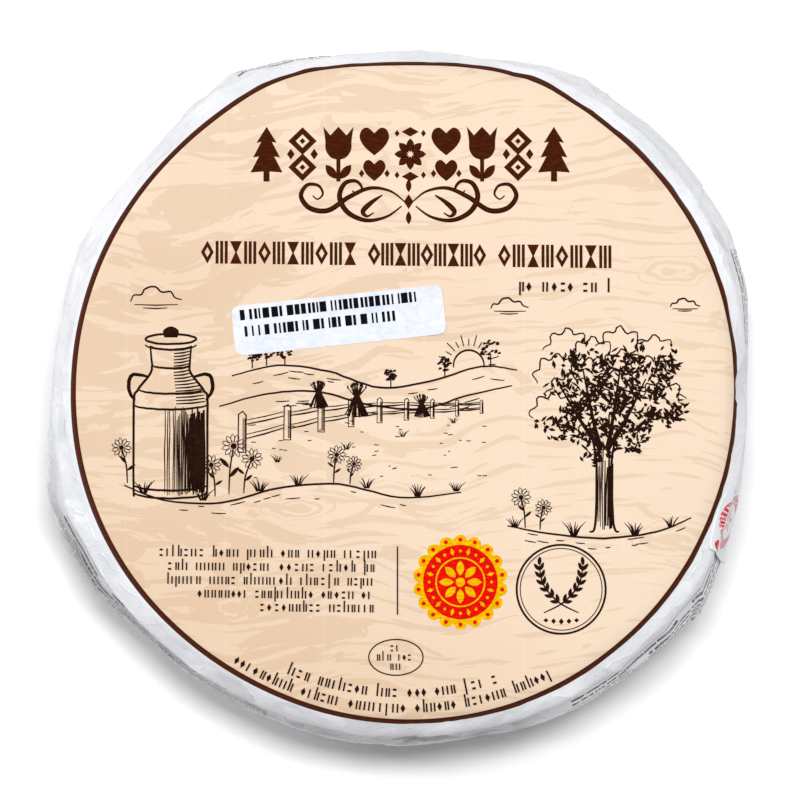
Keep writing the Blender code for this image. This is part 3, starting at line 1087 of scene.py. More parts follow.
def between_points(a, b, c, d, t):
    """A value between b and c, at a share t of the way, on the smooth curve through all four."""
    bend = (2 * a - 5 * b + 4 * c - d) * t**2 + (3 * b - a - 3 * c + d) * t**3
    return 0.5 * (2 * b + (c - a) * t + bend)


def smooth_line(points, closed=False, steps=6):
    """Points along a smooth curve through the given ones."""
    count = len(points)
    line = []
    for number in range(count if closed else count - 1):
        places = [number + shift for shift in (-1, 0, 1, 2)]
        if closed:
            corners = [points[place % count] for place in places]
        else:
            corners = [points[min(max(place, 0), count - 1)] for place in places]
        for step in range(steps):
            t = step / steps
            line.append(tuple(between_points(*four, t) for four in zip(*corners)))
    if not closed:
        line.append(tuple(points[-1]))
    return line


def moved(points, x=0.0, y=0.0, scale=1.0, turn=0.0, mirrored=False):
    """The points turned and scaled, then mirrored if wanted, then moved."""
    flip = -1.0 if mirrored else 1.0
    c, s = math.cos(turn), math.sin(turn)
    return [(x + flip * scale * (px * c - py * s), y + scale * (px * s + py * c)) for px, py in points]


def arc(radius, start=0.0, end=TAU, steps=32, x=0.0, y=0.0, squash=1.0):
    """Points on an arc, or on a whole circle without its last point."""
    whole = abs(end - start - TAU) < 1e-6
    turns = [start + (end - start) * number / steps for number in range(steps if whole else steps + 1)]
    return [(x + radius * math.cos(turn), y + squash * radius * math.sin(turn)) for turn in turns]


def lozenge(width, height, x=0.0, y=0.0):
    return [(x + 0.5 * width, y), (x, y + 0.5 * height), (x - 0.5 * width, y), (x, y - 0.5 * height)]


def bar(width, height, x=0.0, y=0.0):
    w, h = 0.5 * width, 0.5 * height
    return [(x - w, y - h), (x + w, y - h), (x + w, y + h), (x - w, y + h)]


def leaf(length, width, steps=5):
    """A pointed leaf from the origin along +X."""
    shares = [number / steps for number in range(1, steps)]
    upper = [(length * share, 0.5 * width * math.sin(math.pi * share) ** 0.8) for share in shares]
    return [(0.0, 0.0)] + [(px, -py) for px, py in upper] + [(length, 0.0)] + upper[::-1]


def both_sides(right):
    """An outline from its right half, which starts and ends on the middle line."""
    return right + [(-px, py) for px, py in right[-2:0:-1]]


def heart(width):
    """A heart with its tip at the origin and its lobes towards +Y."""
    right = [(0.0, 0.0), (0.34, 0.30), (0.50, 0.62), (0.42, 0.88), (0.22, 0.95), (0.0, 0.76)]
    return moved(both_sides(smooth_line(right, steps=4)), scale=width)


# The frieze of folk motifs, each drawn by its foot

PETALS = 8


def draw_fir(ink, x, y):
    boughs = [(0.0, 10.9), (2.0, 7.7), (1.05, 7.9), (2.65, 4.8), (1.5, 5.0), (3.15, 1.8)]
    trunk = [(0.6, 2.0), (0.6, 0.0), (0.0, 0.0)]
    ink.fill(moved(both_sides(boughs + trunk), x, y))


def draw_lozenges(ink, x, y):
    for rise in (2.85, 8.05):
        ink.fill(lozenge(5.6, 5.5, x, y + rise), lozenge(2.7, 2.7, x, y + rise))
        ink.fill(lozenge(1.2, 1.2, x, y + rise))
    for side in (-1, 1):
        ink.fill(lozenge(1.5, 2.2, x + 2.3 * side, y + 5.45))


def draw_tulip(ink, x, y):
    cup = smooth_line([(0.0, 4.3), (1.5, 4.8), (2.5, 6.3), (2.6, 8.3), (3.0, 10.9)], steps=4)
    ink.fill(moved(both_sides(cup + [(1.6, 9.2), (0.0, 10.9)]), x, y))
    ink.fill(bar(0.8, 4.4, x, y + 2.2))
    blade = moved(leaf(3.6, 1.7), 0.3, 0.5, turn=math.radians(52.0))
    for mirrored in (False, True):
        ink.fill(moved(blade, x, y, mirrored=mirrored))


def draw_hearts(ink, x, y):
    ink.fill(moved(heart(5.8), x, y + 5.2))
    ink.fill(moved(heart(4.4), x, y + 0.1))
    for side in (-1, 1):
        ink.fill(lozenge(1.1, 1.6, x + 2.5 * side, y + 1.6))


def draw_rosette(ink, x, y):
    petal = moved(leaf(2.75, 1.55), 0.4)
    for number in range(PETALS):
        ink.fill(moved(petal, x, y + 5.45, turn=TAU * number / PETALS))
    for rise in (1.0, 9.9):
        ink.fill(lozenge(3.4, 1.9, x, y + rise))
    for side in (-1, 1):
        for rise in (1.3, 9.6):
            ink.fill(lozenge(1.0, 1.4, x + 2.6 * side, y + rise))


FRIEZE_MOTIFS = (
    draw_fir,
    draw_lozenges,
    draw_tulip,
    draw_hearts,
    draw_rosette,
    draw_hearts,
    draw_tulip,
    draw_lozenges,
    draw_fir,
)
FRIEZE_START = -26.3
FRIEZE_PITCH = 7.08
FRIEZE_FOOT = 41.0


def draw_frieze(ink):
    for number, motif in enumerate(FRIEZE_MOTIFS):
        motif(ink, FRIEZE_START + FRIEZE_PITCH * number, FRIEZE_FOOT)


# The flourish under the frieze: half of it, from its middle
FLOURISH_MIDDLE = (1.7, 37.0)
SCROLLS = (
    ((0.9, 0.1), (3.6, 2.1), (7.6, 2.7), (11.8, 0.9), (15.8, -1.7), (19.4, -1.3), (21.2, 1.1), (20.0, 3.3),
     (17.8, 3.2), (16.9, 1.6), (17.9, 0.5), (18.9, 1.2)),
    ((1.4, -0.9), (4.4, -3.0), (8.4, -3.7), (12.0, -2.1), (13.6, 0.9), (12.6, 3.6), (10.4, 4.1), (9.2, 2.7),
     (10.1, 1.5), (11.1, 2.2)),
    ((5.2, 1.3), (7.4, -0.2), (9.0, -1.9), (8.2, -2.9), (6.9, -2.2)),
)


def draw_flourish(ink):
    middle_x, middle_y = FLOURISH_MIDDLE
    for mirrored in (False, True):
        for scroll in SCROLLS:
            line = smooth_line(moved(scroll, middle_x, middle_y, mirrored=mirrored), steps=9)
            count = len(line) - 1
            swells = [math.sin(math.pi * (number / count) ** 0.75) for number in range(count + 1)]
            ink.shaded_stroke(line, [0.28 + 0.75 * swell**2 for swell in swells])
    ink.fill(lozenge(1.9, 3.0, middle_x, middle_y))
    for side in (-1, 1):
        ink.fill(moved(leaf(2.6, 1.1), middle_x, middle_y + 1.9 * side, turn=0.5 * math.pi * side))


# Rows of plain marks where a label has lines of words


def upright_mark(ink, x, y, height, kind):
    """One mark of a plain kind, standing on a base line."""
    half = 0.5 * height
    if kind == "lozenge":
        hole = lozenge(0.24 * height, 0.44 * height, x, y + half)
        ink.fill(lozenge(0.56 * height, height, x, y + half), hole)
    elif kind == "hourglass":
        right = [(0.0, 0.0), (0.26, 0.0), (0.03, 0.5), (0.26, 1.0), (0.0, 1.0)]
        ink.fill(moved(both_sides(right), x, y, scale=height))
    else:
        for shift in (-0.2, 0.0, 0.2):
            ink.fill(bar(0.13 * height, height, x + shift * height, y + half))


CAPS_GROUPS = ((-39.3, -8.4, 11), (-6.4, 17.0, 9), (19.1, 41.8, 8))
CAPS_BASE = 24.3
CAPS_HEIGHT = 4.5
CAPS_SLOPE = -0.012
CAPS_CYCLE = ("lozenge", "bars", "hourglass", "bars")


def draw_caps_band(ink):
    for start, end, count in CAPS_GROUPS:
        for number in range(count):
            x = start + (end - start) * (number + 0.5) / count
            kind = CAPS_CYCLE[number % len(CAPS_CYCLE)]
            upright_mark(ink, x, CAPS_BASE + CAPS_SLOPE * x, CAPS_HEIGHT, kind)


def tick_shapes(draw, height):
    """The width and the outlines of one small mark: one or two stems, a lozenge, or two dashes."""
    width = height * draw.choice((0.34, 0.42, 0.5, 0.62))
    low = -0.4 * height if draw.random() < 0.08 else 0.0
    high = height * (1.5 if draw.random() < 0.28 else 1.0)
    kind = draw.random()
    if kind < 0.62:
        stem = 0.2 * height
        shapes = [bar(stem, high - low, 0.5 * stem, 0.5 * (high + low))]
        if width > 0.4 * height:
            shapes.append(bar(stem, height, width, 0.5 * height))
        return width, shapes
    if kind < 0.82:
        return width, [lozenge(0.55 * height, height, 0.5 * width, 0.5 * height)]
    return width, [bar(0.42 * height, 0.24 * height, 0.5 * width, level * height) for level in (0.14, 0.86)]


def tick_row(ink, draw, length, height, at, word=(3, 9)):
    """A row of small marks in groups. The function at gives place and turn at a distance along the row."""
    along, left = 0.0, draw.randint(*word)
    while along < length:
        width, shapes = tick_shapes(draw, height)
        x, y, turn = at(along)
        for shape in shapes:
            ink.fill(moved(shape, x, y, turn=turn))
        along += width + 0.42 * height
        left -= 1
        if left == 0:
            along += 0.8 * height
            left = draw.randint(*word)


def straight_row(x, y, turn=0.0):
    return lambda along: (x + along * math.cos(turn), y + along * math.sin(turn), turn)


def curved_row(radius, start):
    """A row that runs along the inside of the ring, to be read from the middle of the print."""
    def at(along):
        turn = math.radians(start) + along / radius
        x, y = PRINT_MIDDLE
        return x + radius * math.cos(turn), y + radius * math.sin(turn), turn + 0.5 * math.pi
    return at


ROW_SEED = 5
TEXT_ROWS = ((-47.1, -32.9), (-45.5, -35.6), (-45.5, -38.3), (-39.5, -41.0), (-27.3, -43.7))
TEXT_END = -5.2
TEXT_TILT = math.radians(-0.6)
TEXT_HEIGHT = 1.5
SHORT_ROW_START = (23.4, 19.2)
SHORT_ROW_LENGTH = 18.0
SHORT_ROW_HEIGHT = 1.9
# The upright line beside the rows: width, height and middle
DIVIDER = (0.26, 13.4, -0.5, -37.7)
# Rows inside the ring: radius, angle of their start, length, and fewest and most marks in a group
CURVED_ROWS = ((60.3, 247.5, 42.0, (3, 9)), (63.3, 238.0, 66.0, (4, 9)))
CURVED_HEIGHT = 1.7


def draw_small_rows(ink):
    draw = random.Random(ROW_SEED)
    for x, y in TEXT_ROWS:
        tick_row(ink, draw, TEXT_END - x, TEXT_HEIGHT, straight_row(x, y, TEXT_TILT))
    short_row = straight_row(*SHORT_ROW_START, TEXT_TILT)
    tick_row(ink, draw, SHORT_ROW_LENGTH, SHORT_ROW_HEIGHT, short_row, word=(2, 4))
    ink.fill(bar(*DIVIDER))
    for radius, start, length, word in CURVED_ROWS:
        tick_row(ink, draw, length, CURVED_HEIGHT, curved_row(radius, start), word)


OVAL_PLACE = (-0.8, -52.7)


def draw_oval(ink):
    x, y = OVAL_PLACE
    ink.stroke(arc(5.3, steps=48, x=x, y=y, squash=0.66), 0.24, closed=True)
    draw = random.Random(ROW_SEED)
    for length, start, rise in ((2.0, -1.1, 1.15), (7.0, -3.7, -0.65), (2.0, -1.1, -2.45)):
        tick_row(ink, draw, length, 1.25, straight_row(x + start, y + rise))


# The pasture drawing


def wobbled(points, draw, size=0.03):
    return [(x + draw.gauss(0.0, size), y + draw.gauss(0.0, size)) for x, y in points]


def hand_line(ink, draw, points, width=0.36, steps=5):
    """A smooth line drawn by hand through the points."""
    ink.stroke(wobbled(smooth_line(points, steps=steps), draw), width)


CHURN_PROFILE = ((0.0, 6.9), (0.8, 7.2), (17.5, 7.2), (20.0, 6.6), (23.5, 4.0), (25.2, 3.7), (29.0, 4.0))


def churn_half_width(height):
    heights, widths = zip(*CHURN_PROFILE)
    return float(np.interp(height, heights, widths))


def draw_churn(ink, draw, x, y):
    """A milk churn with hoops, a lid and two handles, dark on its right side."""
    for side in (-1, 1):
        hand_line(ink, draw, [(x + side * w, y + h) for h, w in CHURN_PROFILE], 0.5, 4)
        handle = [(4.6, 22.9), (7.6, 23.2), (8.2, 20.4), (7.0, 18.2)]
        hand_line(ink, draw, moved(handle, x, y, mirrored=side < 0), 0.75, 6)
    for height, squash in ((0.0, 0.16), (1.6, 0.16), (17.4, 0.14), (20.4, 0.14), (25.2, 0.18), (29.0, 0.2)):
        hoop = arc(churn_half_width(height), math.pi, TAU, 18, x, y + height, squash)
        ink.stroke(wobbled(hoop, draw), 0.45)
    ink.stroke(wobbled(arc(5.0, steps=30, x=x, y=y + 30.3, squash=0.2), draw), 0.45, closed=True)
    ink.stroke(arc(5.0, math.pi, TAU, 20, x, y + 29.2, 0.2), 0.4)
    knob = [(-1.3, 30.6), (-1.5, 32.0), (0.0, 32.8), (1.5, 32.0), (1.3, 30.6)]
    ink.fill(moved(smooth_line(knob, steps=5), x, y))
    for column in range(26):
        if draw.random() < 0.08:
            continue
        share = min(1.15 * ((column + 0.5) / 26.0) ** 0.8 - 0.2, 0.98)
        low = draw.uniform(0.4, 1.4) - 1.1 * math.sqrt(1.0 - share * share)
        high = draw.uniform(14.0, 17.0)
        line = [(x + 7.0 * share, y + low + (high - low) * t / 4.0) for t in range(5)]
        ink.stroke(wobbled(line, draw, 0.05), 0.24 + 0.5 * max(share, 0.0) ** 2)
    for row in range(18):
        height = 18.0 + row * 0.62
        w = churn_half_width(height)
        line = [(0.15 * w, height - 0.5), (0.6 * w, height - 0.35), (0.97 * w, height)]
        ink.stroke(moved(line, x, y), 0.36)


def draw_tuft(ink, draw, x, y, size=1.0):
    """A tuft of grass."""
    for lean in (-0.9, -0.6, -0.3, 0.0, 0.3, 0.6, 0.9):
        lean += draw.uniform(-0.15, 0.15)
        tall = size * draw.uniform(1.6, 2.8)
        foot = x + 0.5 * lean * size
        blade = moved([(0.0, 0.0), (0.35 * lean, 0.6), (0.8 * lean, 1.0)], foot, y, tall)
        ink.shaded_stroke(blade, [0.34 * size, 0.26 * size, 0.08])


def draw_daisy(ink, draw, x, y, stem, radius, lean):
    """A daisy on a bent stem with two leaves."""
    head = (x + lean, y + stem)
    ink.stroke(smooth_line([(x, y), (x + 0.2 * lean, y + 0.5 * stem), head], steps=5), 0.32)
    for number in range(11):
        turn = TAU * number / 11 + draw.uniform(-0.08, 0.08)
        start = (head[0] + 0.32 * radius * math.cos(turn), head[1] + 0.32 * radius * math.sin(turn))
        ink.stroke(moved(leaf(0.72 * radius, 0.36 * radius, 4), *start, turn=turn), 0.17, closed=True)
    ink.fill(arc(0.27 * radius, steps=10, x=head[0], y=head[1]))
    for side, height in ((1, 0.35), (-1, 0.55)):
        turn = 0.5 * math.pi - side * draw.uniform(0.6, 1.0)
        ink.fill(moved(leaf(0.30 * stem, 0.09 * stem), x + 0.1 * lean, y + height * stem, turn=turn))


FENCE_POSTS = 9


def draw_fence(ink, draw):
    """Posts and two rails that run away to the right."""
    posts = []
    for number in range(FENCE_POSTS):
        share = (number / (FENCE_POSTS - 1)) ** 0.8
        x, y = -31.0 + 47.0 * share, -12.5 + 8.5 * share + 1.2 * math.sin(4.0 * share)
        tall = 7.4 - 4.9 * share
        posts.append((x, y, tall))
        w = 0.11 * tall
        post = [(-w, 0.0), (-0.9 * w, tall), (0.2 * w, 1.08 * tall), (w, 0.98 * tall), (w, 0.0)]
        ink.stroke(wobbled(moved(post, x, y), draw), 0.30 - 0.12 * share, closed=True)
        for part in (0.25, 0.5, 0.75):
            crack = [(w * part, 0.05 * tall), (w * part, 0.9 * tall)]
            ink.stroke(moved(crack, x, y), 0.20 - 0.06 * share)
    for (x0, y0, tall0), (x1, y1, tall1) in zip(posts, posts[1:]):
        for level, width in ((0.36, 0.34), (0.47, 0.24), (0.74, 0.34), (0.85, 0.24)):
            start = (x0 + 0.1 * tall0, y0 + level * tall0 + draw.uniform(-0.1, 0.1))
            end = (x1 - 0.1 * tall1, y1 + level * tall1 + draw.uniform(-0.1, 0.1))
            middle = (0.5 * (start[0] + end[0]), 0.5 * (start[1] + end[1]) - 0.1)
            ink.stroke([start, middle, end], width)


def draw_stook(ink, draw, x, y, size):
    """Sheaves leaning together, tied near the top."""
    for number in range(15):
        share = number / 14.0 - 0.5
        foot = (x + 5.0 * share * size + draw.uniform(-0.2, 0.2), y - 0.5 * size * math.cos(3.0 * share))
        tie = (x + 0.9 * share * size, y + 4.2 * size)
        ear = (x + 3.4 * share * size + draw.uniform(-0.3, 0.3), y + (6.6 - 3.0 * share * share) * size)
        ink.shaded_stroke([foot, tie, ear], (0.22, 0.30, 0.14) if share < 0.1 else (0.38, 0.42, 0.2))
        ink.shaded_stroke([ear, (ear[0] + 0.25 * share, ear[1] + 0.7 * size)], (0.5 * size, 0.12))
    ink.stroke(moved([(-0.6, 4.1), (0.0, 3.9), (0.6, 4.2)], x, y, size), 0.6 * size)


def crown_clumps(x, y, crown):
    """Middles and radii of the clumps of leaves in a round crown."""
    clumps = []
    for number in range(17):
        turn = 2.4 * number
        reach = 0.8 * crown * math.sqrt((number + 0.5) / 17.0)
        clumps.append((x + reach * math.cos(turn), y + 0.8 * reach * math.sin(turn), 0.27 * crown))
    return clumps


def draw_tree(ink, draw, x, y, crown, tall, leaves):
    """A broad round tree, dark on its lower right, with a hatched trunk."""
    for side in (-1, 1):
        trunk = [(2.9, -0.2), (1.8, 1.4), (1.5, 0.5 * tall), (2.7, 0.72 * tall)]
        hand_line(ink, draw, moved(trunk, x, y, mirrored=side < 0), 0.5)
    for number in range(9):
        share = number / 8.0
        px = x - 1.3 + 2.7 * share
        low, high = y + draw.uniform(0.2, 2.0), y + tall * draw.uniform(0.45, 0.68)
        line = wobbled([(px, low), (px, 0.5 * (low + high)), (px + 0.2, high)], draw, 0.07)
        ink.stroke(line, 0.2 + 0.5 * share**2)
    for side, reach, rise in ((-1, 0.55, 0.25), (1, 0.5, 0.3), (-1, 0.25, 0.5), (1, 0.2, 0.55)):
        tip = (reach * crown, tall + 0.6 * rise * crown)
        limb = [(0.7, 0.6 * tall), (0.5 * reach * crown, 0.8 * tall), tip]
        line = smooth_line(moved(limb, x, y, mirrored=side < 0), steps=5)
        ink.shaded_stroke(line, [1.1 - 0.085 * number for number in range(len(line))])
    clumps = crown_clumps(x, y + tall, crown)
    for clump_x, clump_y, radius in clumps:
        start = draw.uniform(0.2, 0.8)
        lobes = []
        for turn in np.linspace(start, start + 2.6, 22):
            reach = radius * (1.0 + 0.13 * math.sin(9.0 * turn))
            lobes.append((clump_x + reach * math.cos(turn), clump_y + reach * math.sin(turn)))
        ink.stroke(wobbled(lobes, draw, 0.07), 0.34)
    for _ in range(leaves):
        clump_x, clump_y, radius = draw.choice(clumps)
        turn, reach = draw.gauss(-0.9, 0.85), radius * math.sqrt(draw.random())
        place = (clump_x + reach * math.cos(turn), clump_y + reach * math.sin(turn))
        length, lean = draw.uniform(0.8, 1.7), draw.uniform(-0.9, 2.4)
        blade = moved([(0.0, 0.0), (0.5 * length, 0.0), (length, 0.0)], *place, turn=lean)
        ink.shaded_stroke(blade, (0.12, draw.uniform(0.4, 0.8), 0.1))


def draw_sun(ink, x, y, radius):
    """Half a sun with rays behind a hill."""
    ink.stroke(arc(radius, math.radians(-8.0), math.radians(188.0), 26, x, y), 0.4)
    for number in range(13):
        turn = math.radians(2.0 + 176.0 * number / 12.0)
        start, end = 1.3 * radius, radius * (2.05 if number % 2 else 1.75)
        ink.stroke(moved([(start, 0.0), (end, 0.0)], x, y, turn=turn), 0.34)


def draw_cloud(ink, draw, x, y, size):
    left = [(-5.2, 0.2), (-4.6, 1.5), (-3.0, 1.7), (-2.2, 2.9), (-0.2, 3.3)]
    right = [(1.2, 2.2), (3.0, 2.3), (3.9, 1.1), (5.4, 0.6)]
    hand_line(ink, draw, moved(left + right, x, y, size), 0.36, 6)
    for low, start, end in ((-0.4, -4.4, 4.6), (-1.1, -2.6, 2.4)):
        ink.stroke(moved([(start, low), (0.0, low - 0.15), (end, low)], x, y, size), 0.28)


HILLS = (
    ((-33.0, 2.5), (-24.0, 4.6), (-14.0, 3.4), (-4.0, 0.2), (6.0, 1.5), (16.0, 4.4), (23.0, 3.6)),
    ((-35.5, -3.5), (-26.0, -1.0), (-16.0, -0.6), (-7.0, -3.0), (4.0, -4.0), (13.0, -1.4), (22.0, 0.6)),
    ((-54.0, -19.0), (-46.0, -22.0), (-35.0, -22.4), (-24.0, -19.6), (-12.0, -18.8), (0.0, -21.4),
     (12.0, -20.4)),
    ((21.0, -27.0), (30.0, -28.6), (40.0, -29.4), (50.0, -28.2), (57.0, -25.4)),
)
FAR_TREES = (
    (-29.0, 4.4, 1.5),
    (-26.2, 4.9, 1.9),
    (-22.6, 4.9, 1.6),
    (-1.8, 0.8, 1.3),
    (8.8, 2.6, 1.5),
    (17.8, 4.8, 2.0),
)
CLOUDS = ((-48.0, 17.0, 0.95), (21.5, 15.6, 0.7), (56.0, 16.0, 0.55))
STOOKS = ((-16.0, -3.6, 0.72), (-8.5, -5.2, 0.9), (4.2, -5.4, 0.6))
DAISIES = (
    (-33.5, -20.8, 9.5, 2.3, 0.9),
    (-36.2, -21.2, 6.2, 1.9, -0.8),
    (-30.6, -20.6, 6.8, 2.0, 1.6),
    (-53.4, -18.6, 7.0, 1.9, -1.2),
    (-13.0, -18.6, 5.6, 1.8, 0.6),
    (-9.8, -18.8, 4.0, 1.5, 0.8),
    (24.5, -27.4, 6.0, 1.9, -0.8),
    (27.4, -27.8, 4.4, 1.6, 0.7),
)
TUFTS = (
    (-50.2, -20.6, 1.0),
    (-38.6, -22.0, 0.9),
    (-27.5, -20.2, 1.0),
    (-20.0, -19.0, 0.8),
    (-6.5, -19.6, 0.8),
    (3.5, -21.2, 0.9),
    (11.0, -20.2, 0.7),
    (-24.0, -14.5, 0.6),
    (-10.5, -12.0, 0.6),
    (0.5, -9.5, 0.5),
    (10.5, -6.8, 0.45),
    (22.5, -27.2, 0.8),
    (34.0, -28.9, 1.0),
    (46.0, -28.8, 1.0),
    (53.0, -27.2, 0.8),
)
CHURN_PLACE = (-45.0, -20.5)
# The sun's middle and radius
SUN = (13.5, 4.6, 3.0)
# The tree's foot, the radius of its crown, its height up to the crown's middle, and its leaves
TREE = (40.0, -28.0, 16.5, 27.0, 900)
DRAWING_SEED = 41


def draw_hill(ink, draw, hill):
    """The line of a hill with short dashes under it."""
    hand_line(ink, draw, hill, 0.42, 7)
    for _ in range(12):
        at = draw.uniform(0.05, 0.9) * (len(hill) - 1)
        (x0, y0), (x1, y1) = hill[int(at)], hill[int(at) + 1]
        part, length, slope = at - int(at), draw.uniform(0.8, 3.0), (y1 - y0) / (x1 - x0)
        x, y = x0 + part * (x1 - x0), y0 + part * (y1 - y0) - draw.uniform(0.7, 2.6)
        dash = [(0.0, 0.0), (0.5 * length, 0.5 * slope * length - 0.05), (length, slope * length)]
        ink.stroke(moved(dash, x, y), 0.26)


def draw_far_tree(ink, draw, x, y, radius):
    ink.stroke([(x, y - 0.4), (x, y + radius)], 0.4)
    for _ in range(26):
        turn, reach = draw.uniform(0.0, TAU), radius * math.sqrt(draw.random())
        px, py = x + reach * math.cos(turn), y + 1.5 * radius + 0.9 * reach * math.sin(turn)
        ink.stroke([(px - 0.3, py - 0.15), (px, py + 0.1), (px + 0.3, py)], 0.46)


def draw_pasture(ink):
    draw = random.Random(DRAWING_SEED)
    for hill in HILLS:
        draw_hill(ink, draw, hill)
    for tree in FAR_TREES:
        draw_far_tree(ink, draw, *tree)
    draw_sun(ink, *SUN)
    for cloud in CLOUDS:
        draw_cloud(ink, draw, *cloud)
    draw_churn(ink, draw, *CHURN_PLACE)
    draw_fence(ink, draw)
    for stook in STOOKS:
        draw_stook(ink, draw, *stook)
    draw_tree(ink, draw, *TREE)
    for daisy in DAISIES:
        draw_daisy(ink, draw, *daisy)
    for tuft in TUFTS:
        draw_tuft(ink, draw, *tuft)
    for _ in range(46):
        x, y = draw.uniform(-30.0, 18.0), draw.uniform(-17.5, -6.0)
        ink.stroke([(x, y), (x + draw.uniform(0.4, 1.0), y + draw.uniform(-0.1, 0.15))], 0.3)


# The round emblem and the seal

EMBLEM_PLACE = (31.5, -39.4)
SEAL_PLACE = (11.8, -38.0)
SEAL_LOBES = 18
# How far the red of the seal and the marks on it stand over the yellow
RED_LIFT = 0.03
MARK_LIFT = 0.06


def draw_sprig(ink, mirrored):
    """An ear of corn on a bent stem, which crosses its mirror image near the foot."""
    stem = smooth_line([(-3.4, -4.6), (0.4, -2.6), (3.4, 0.8), (4.3, 4.6)], steps=6)
    x, y = EMBLEM_PLACE
    ink.stroke(moved(stem, x, y, mirrored=mirrored), 0.34)
    for number in range(7, len(stem), 2):
        (px, py), (qx, qy) = stem[number - 1], stem[number]
        turn = math.atan2(qy - py, qx - px)
        for side in (-0.55, 0.55):
            ink.fill(moved(moved(leaf(1.9, 0.75, 4), px, py, turn=turn + side), x, y, mirrored=mirrored))
    ink.fill(moved(moved(leaf(1.9, 0.8, 4), *stem[-1], turn=math.radians(95.0)), x, y, mirrored=mirrored))


def draw_emblem(ink):
    x, y = EMBLEM_PLACE
    for radius, width in ((8.7, 0.42), (8.0, 0.2)):
        ink.stroke(arc(radius, steps=64, x=x, y=y), width, closed=True)
    for mirrored in (False, True):
        draw_sprig(ink, mirrored)
    for number in range(-2, 3):
        ink.fill(lozenge(1.0, 1.3 - 0.2 * abs(number), x + 1.5 * number, y - 6.3 + 0.06 * number * number))


def lobed_disc(radius, depth, lobes, steps):
    """A disc whose edge is a row of round lobes."""
    outline = []
    for number in range(lobes * steps):
        turn = TAU * number / (lobes * steps)
        reach = radius - depth + depth * abs(math.sin(0.5 * lobes * turn)) ** 0.7
        outline.append((reach * math.cos(turn), reach * math.sin(turn)))
    return outline


def draw_seal_yellow(ink):
    x, y = SEAL_PLACE
    ink.fill(moved(lobed_disc(9.3, 1.1, SEAL_LOBES, 8), x, y))
    ink.fill(arc(4.9, steps=56, x=x, y=y), arc(4.6, steps=56, x=x, y=y), lift=MARK_LIFT)
    petal = moved(leaf(2.9, 1.5), 1.3)
    for number in range(PETALS):
        ink.fill(moved(petal, x, y, turn=TAU * number / PETALS), lift=MARK_LIFT)
    ink.fill(arc(0.9, steps=18, x=x, y=y), lift=MARK_LIFT)
    for number in range(24):
        turn = TAU * number / 24
        shape = lozenge(1.5, 0.8) if number % 2 else lozenge(0.7, 0.7)
        ink.fill(moved(shape, x + 6.1 * math.cos(turn), y + 6.1 * math.sin(turn), turn=turn), lift=MARK_LIFT)


def draw_seal_red(ink):
    x, y = SEAL_PLACE
    ink.fill(arc(7.3, steps=64, x=x, y=y), lift=RED_LIFT)
    for number in range(SEAL_LOBES):
        turn = TAU * (number + 0.5) / SEAL_LOBES
        ink.fill(arc(0.42, steps=10, x=x + 8.3 * math.cos(turn), y=y + 8.3 * math.sin(turn)), lift=RED_LIFT)


# The stickers

SLIP_LENGTH = 41.6
SLIP_WIDTH = 9.8
SLIP_CORNER = 1.5
SLIP_CENTRE = (-12.05, 13.5)
SLIP_TURN = math.radians(6.1)
SLIP_CORNER_LIFT = 0.25
RIM_STICKER_ANGLE = math.radians(-22.4)
RIM_STICKER_ACROSS = 13.4
RIM_STICKER_DOWN = 16.5
RIM_STICKER_START = 5.0
RIM_STICKER_TILT = 0.5
RIM_STICKER_ROUNDING = 0.20
BAR_ROWS = ((-19.2, 15.3, 2.0), (-18.6, 12.0, -1.3))
BAR_HEIGHT = 2.05
BAR_SEED = 9


def thickened(bm, thickness):
    """Give an open sheet its thickness, with its faces pointing out."""
    bmesh.ops.recalc_face_normals(bm, faces=bm.faces)
    bmesh.ops.solidify(bm, geom=bm.faces[:], thickness=thickness)
    bmesh.ops.recalc_face_normals(bm, faces=bm.faces)
    return bm


def slip_sheet(settings, surface):
    """A thin slip with rounded corners on the face, its two right corners slightly lifted."""
    bm = bmesh.new()
    bmesh.ops.create_grid(bm, x_segments=1, y_segments=1, size=0.5)
    bmesh.ops.scale(bm, verts=bm.verts, vec=(SLIP_LENGTH * MM, SLIP_WIDTH * MM, 1.0))
    bmesh.ops.bevel(
        bm,
        geom=bm.verts[:],
        affect="VERTICES",
        offset=SLIP_CORNER * MM,
        segments=6,
        profile=0.5,
        material=-1,
    )
    for axis, length in ((0, SLIP_LENGTH), (1, SLIP_WIDTH)):
        normal = Vector([float(axis == number) for number in range(3)])
        for cut in range(1, round(length)):
            middle = normal * (cut / round(length) - 0.5) * length * MM
            parts = bm.verts[:] + bm.edges[:] + bm.faces[:]
            bmesh.ops.bisect_plane(bm, geom=parts, plane_co=middle, plane_no=normal)
    for vert in bm.verts:
        along, across = 2.0 * vert.co.x / (SLIP_LENGTH * MM), 2.0 * vert.co.y / (SLIP_WIDTH * MM)
        vert.co.z = SLIP_CORNER_LIFT * MM * float(smooth_step(0.55, 1.0, max(along, 0.0) * abs(across)))
    bmesh.ops.rotate(bm, verts=bm.verts, cent=(0.0, 0.0, 0.0), matrix=Matrix.Rotation(SLIP_TURN, 3, "Z"))
    bmesh.ops.translate(bm, verts=bm.verts, vec=(SLIP_CENTRE[0] * MM, SLIP_CENTRE[1] * MM, 0.0))
    down = Vector((0.0, 0.0, -1.0))
    for vert in bm.verts:
        hit = surface.ray_cast(Vector((vert.co.x, vert.co.y, 1.0)), down)[0]
        vert.co.z += hit.z + settings.thickness + 0.02 * MM
    return thickened(bm, settings.thickness)


